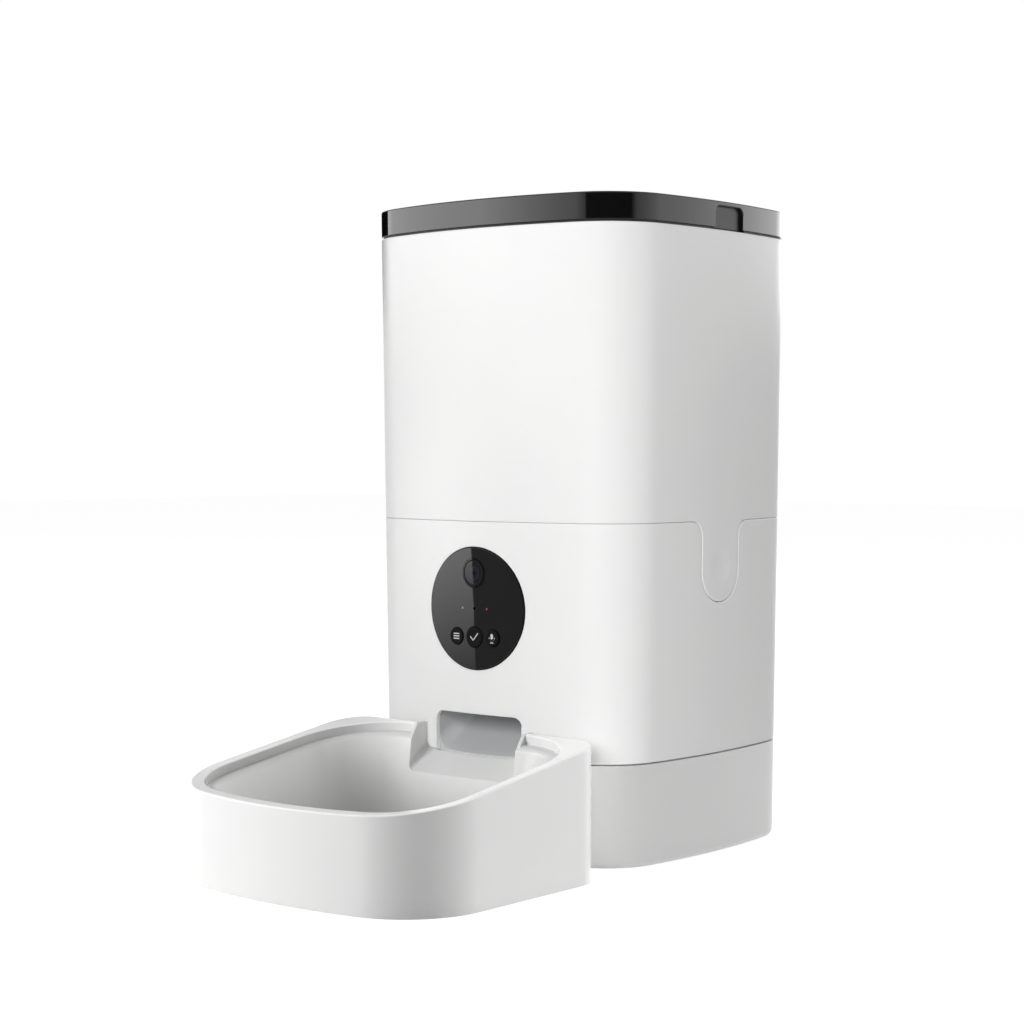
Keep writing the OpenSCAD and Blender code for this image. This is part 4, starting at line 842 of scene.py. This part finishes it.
# Battery door: a flat hatch of white ABS in the base's underside. It swings on a rounded hinge edge in front
# and has a shallow scoop for the finger.
bm = box_shape((-hatch_half, hatch_front, base_low), (hatch_half, hatch_back, base_low + wall))
hinge_r = wall / 2
bm = carved(bm, rod_shape(hinge_r, (-hatch_half, hatch_front, base_low + hinge_r), 2 * hatch_half,
                          pi / 2, "Y", 24), "UNION")
rounded(bm, edges_along(bm, 2, lambda p: p.y > 30), 2.0, 4)
scoop = bmesh.new()
bmesh.ops.create_uvsphere(scoop, u_segments=48, v_segments=24, radius=5)
bmesh.ops.scale(scoop, vec=(1.6, 1, 0.3), verts=scoop.verts)
bm = carved(bm, placed(scoop, (0, hatch_back - 9, base_low)))
make_piece("battery_hatch", bm, white_abs, "battery_door", ["battery_door"])


# Inner parts: the funnel, deck, gears, motor, boards, battery box and screws, of ABS, acetal, silicone, metal
# and laminate. They keep their CAD shapes, and each takes the finish of its real material.
def plated(name, colour, rough, grain=(1, 1, 40)):
    """Plated or drawn metal: a bright sheen with fine lines along its length."""
    material, tree = new_material(name)
    place = add(tree, "ShaderNodeTexCoord").outputs["Object"]
    stretched = add(tree, "ShaderNodeVectorMath", {0: place, 1: grain}, operation="MULTIPLY")
    lines = add(tree, "ShaderNodeTexNoise",
                {"Vector": stretched.outputs[0], "Scale": 1 / (8 * mm), "Detail": 3.0})
    gloss = add(tree, "ShaderNodeMapRange",
                {"Value": lines.outputs["Fac"], "To Min": rough * 0.7, "To Max": rough * 1.3})
    metal = add(tree, "ShaderNodeBsdfPrincipled", {
        "Base Color": srgb(colour), "Metallic": 1.0, "Roughness": gloss.outputs["Result"]})
    add(tree, "ShaderNodeOutputMaterial", {"Surface": metal.outputs["BSDF"]})
    return material


def circuit_board(name):
    """Green solder mask over copper tracks, which are drawn coarser than real ones so that they show."""
    material, tree = new_material(name)
    place = add(tree, "ShaderNodeTexCoord").outputs["Object"]
    tracks = add(tree, "ShaderNodeTexBrick", {
        "Vector": place, "Color1": srgb("#1d5a35"), "Color2": srgb("#1a5231"), "Mortar": srgb("#2f7a4a"),
        "Scale": 1 / (6 * mm), "Mortar Size": 0.04})
    mask = add(tree, "ShaderNodeBsdfPrincipled", {"Base Color": tracks.outputs["Color"], "Roughness": 0.35})
    add(tree, "ShaderNodeOutputMaterial", {"Surface": mask.outputs["BSDF"]})
    return material


# Unpolished ABS is duller than the shell's, acetal is a waxy cream, silicone is pale and soft to the eye,
# nylon is a dull black, and the metals differ in hue: cool zinc, greyer steel and yellow brass
inner_abs = moulded_plastic("unpolished_white_abs", "#ececea", 0.45, grain=0.4, bump=0.06, mottle="#e8e8e6")
silicone = moulded_plastic("translucent_silicone", "#c9cdd0", 0.55, grain=0.5, bump=0.05, mottle="#d0d3d5")
black_nylon = moulded_plastic("black_moulded_nylon", "#1b1b1d", 0.5, grain=0.4, bump=0.1, mottle="#212123")
finishes = {
    "white_abs": white_abs, "bowl_abs": bowl_abs, "smoked_acrylic": smoked_acrylic,
    "panel_black": panel_black, "button_black": key_black, "lens_glass": lens_glass, "foot_rubber": rubber,
    "inner_abs": inner_abs, "inner_grey": inner_grey, "silicone": silicone, "black_part": black_nylon,
    "lens_black": polished("black_anodised_barrel", "#0c0c0d", 0.3, 1.5),
    "acetal": moulded_plastic("natural_acetal", "#e6e2d6", 0.35, mottle="#e9e6dc"),
    "board_green": circuit_board("green_circuit_board"),
    "zinc_steel": plated("zinc_plated_steel", "#c4c6c8", 0.3),
    "motor_steel": plated("drawn_motor_steel", "#a9abae", 0.35),
    "brass": plated("turned_brass", "#c9a44e", 0.3)}
for part in frame["record"]["subparts"]:
    finish = finishes.get(part["material_slot"])
    if finish:
        node = frame["nodes"][part["node"]]
        if not node.material_slots:
            node.data.materials.append(finish)
        for item in node.material_slots:
            item.material = finish
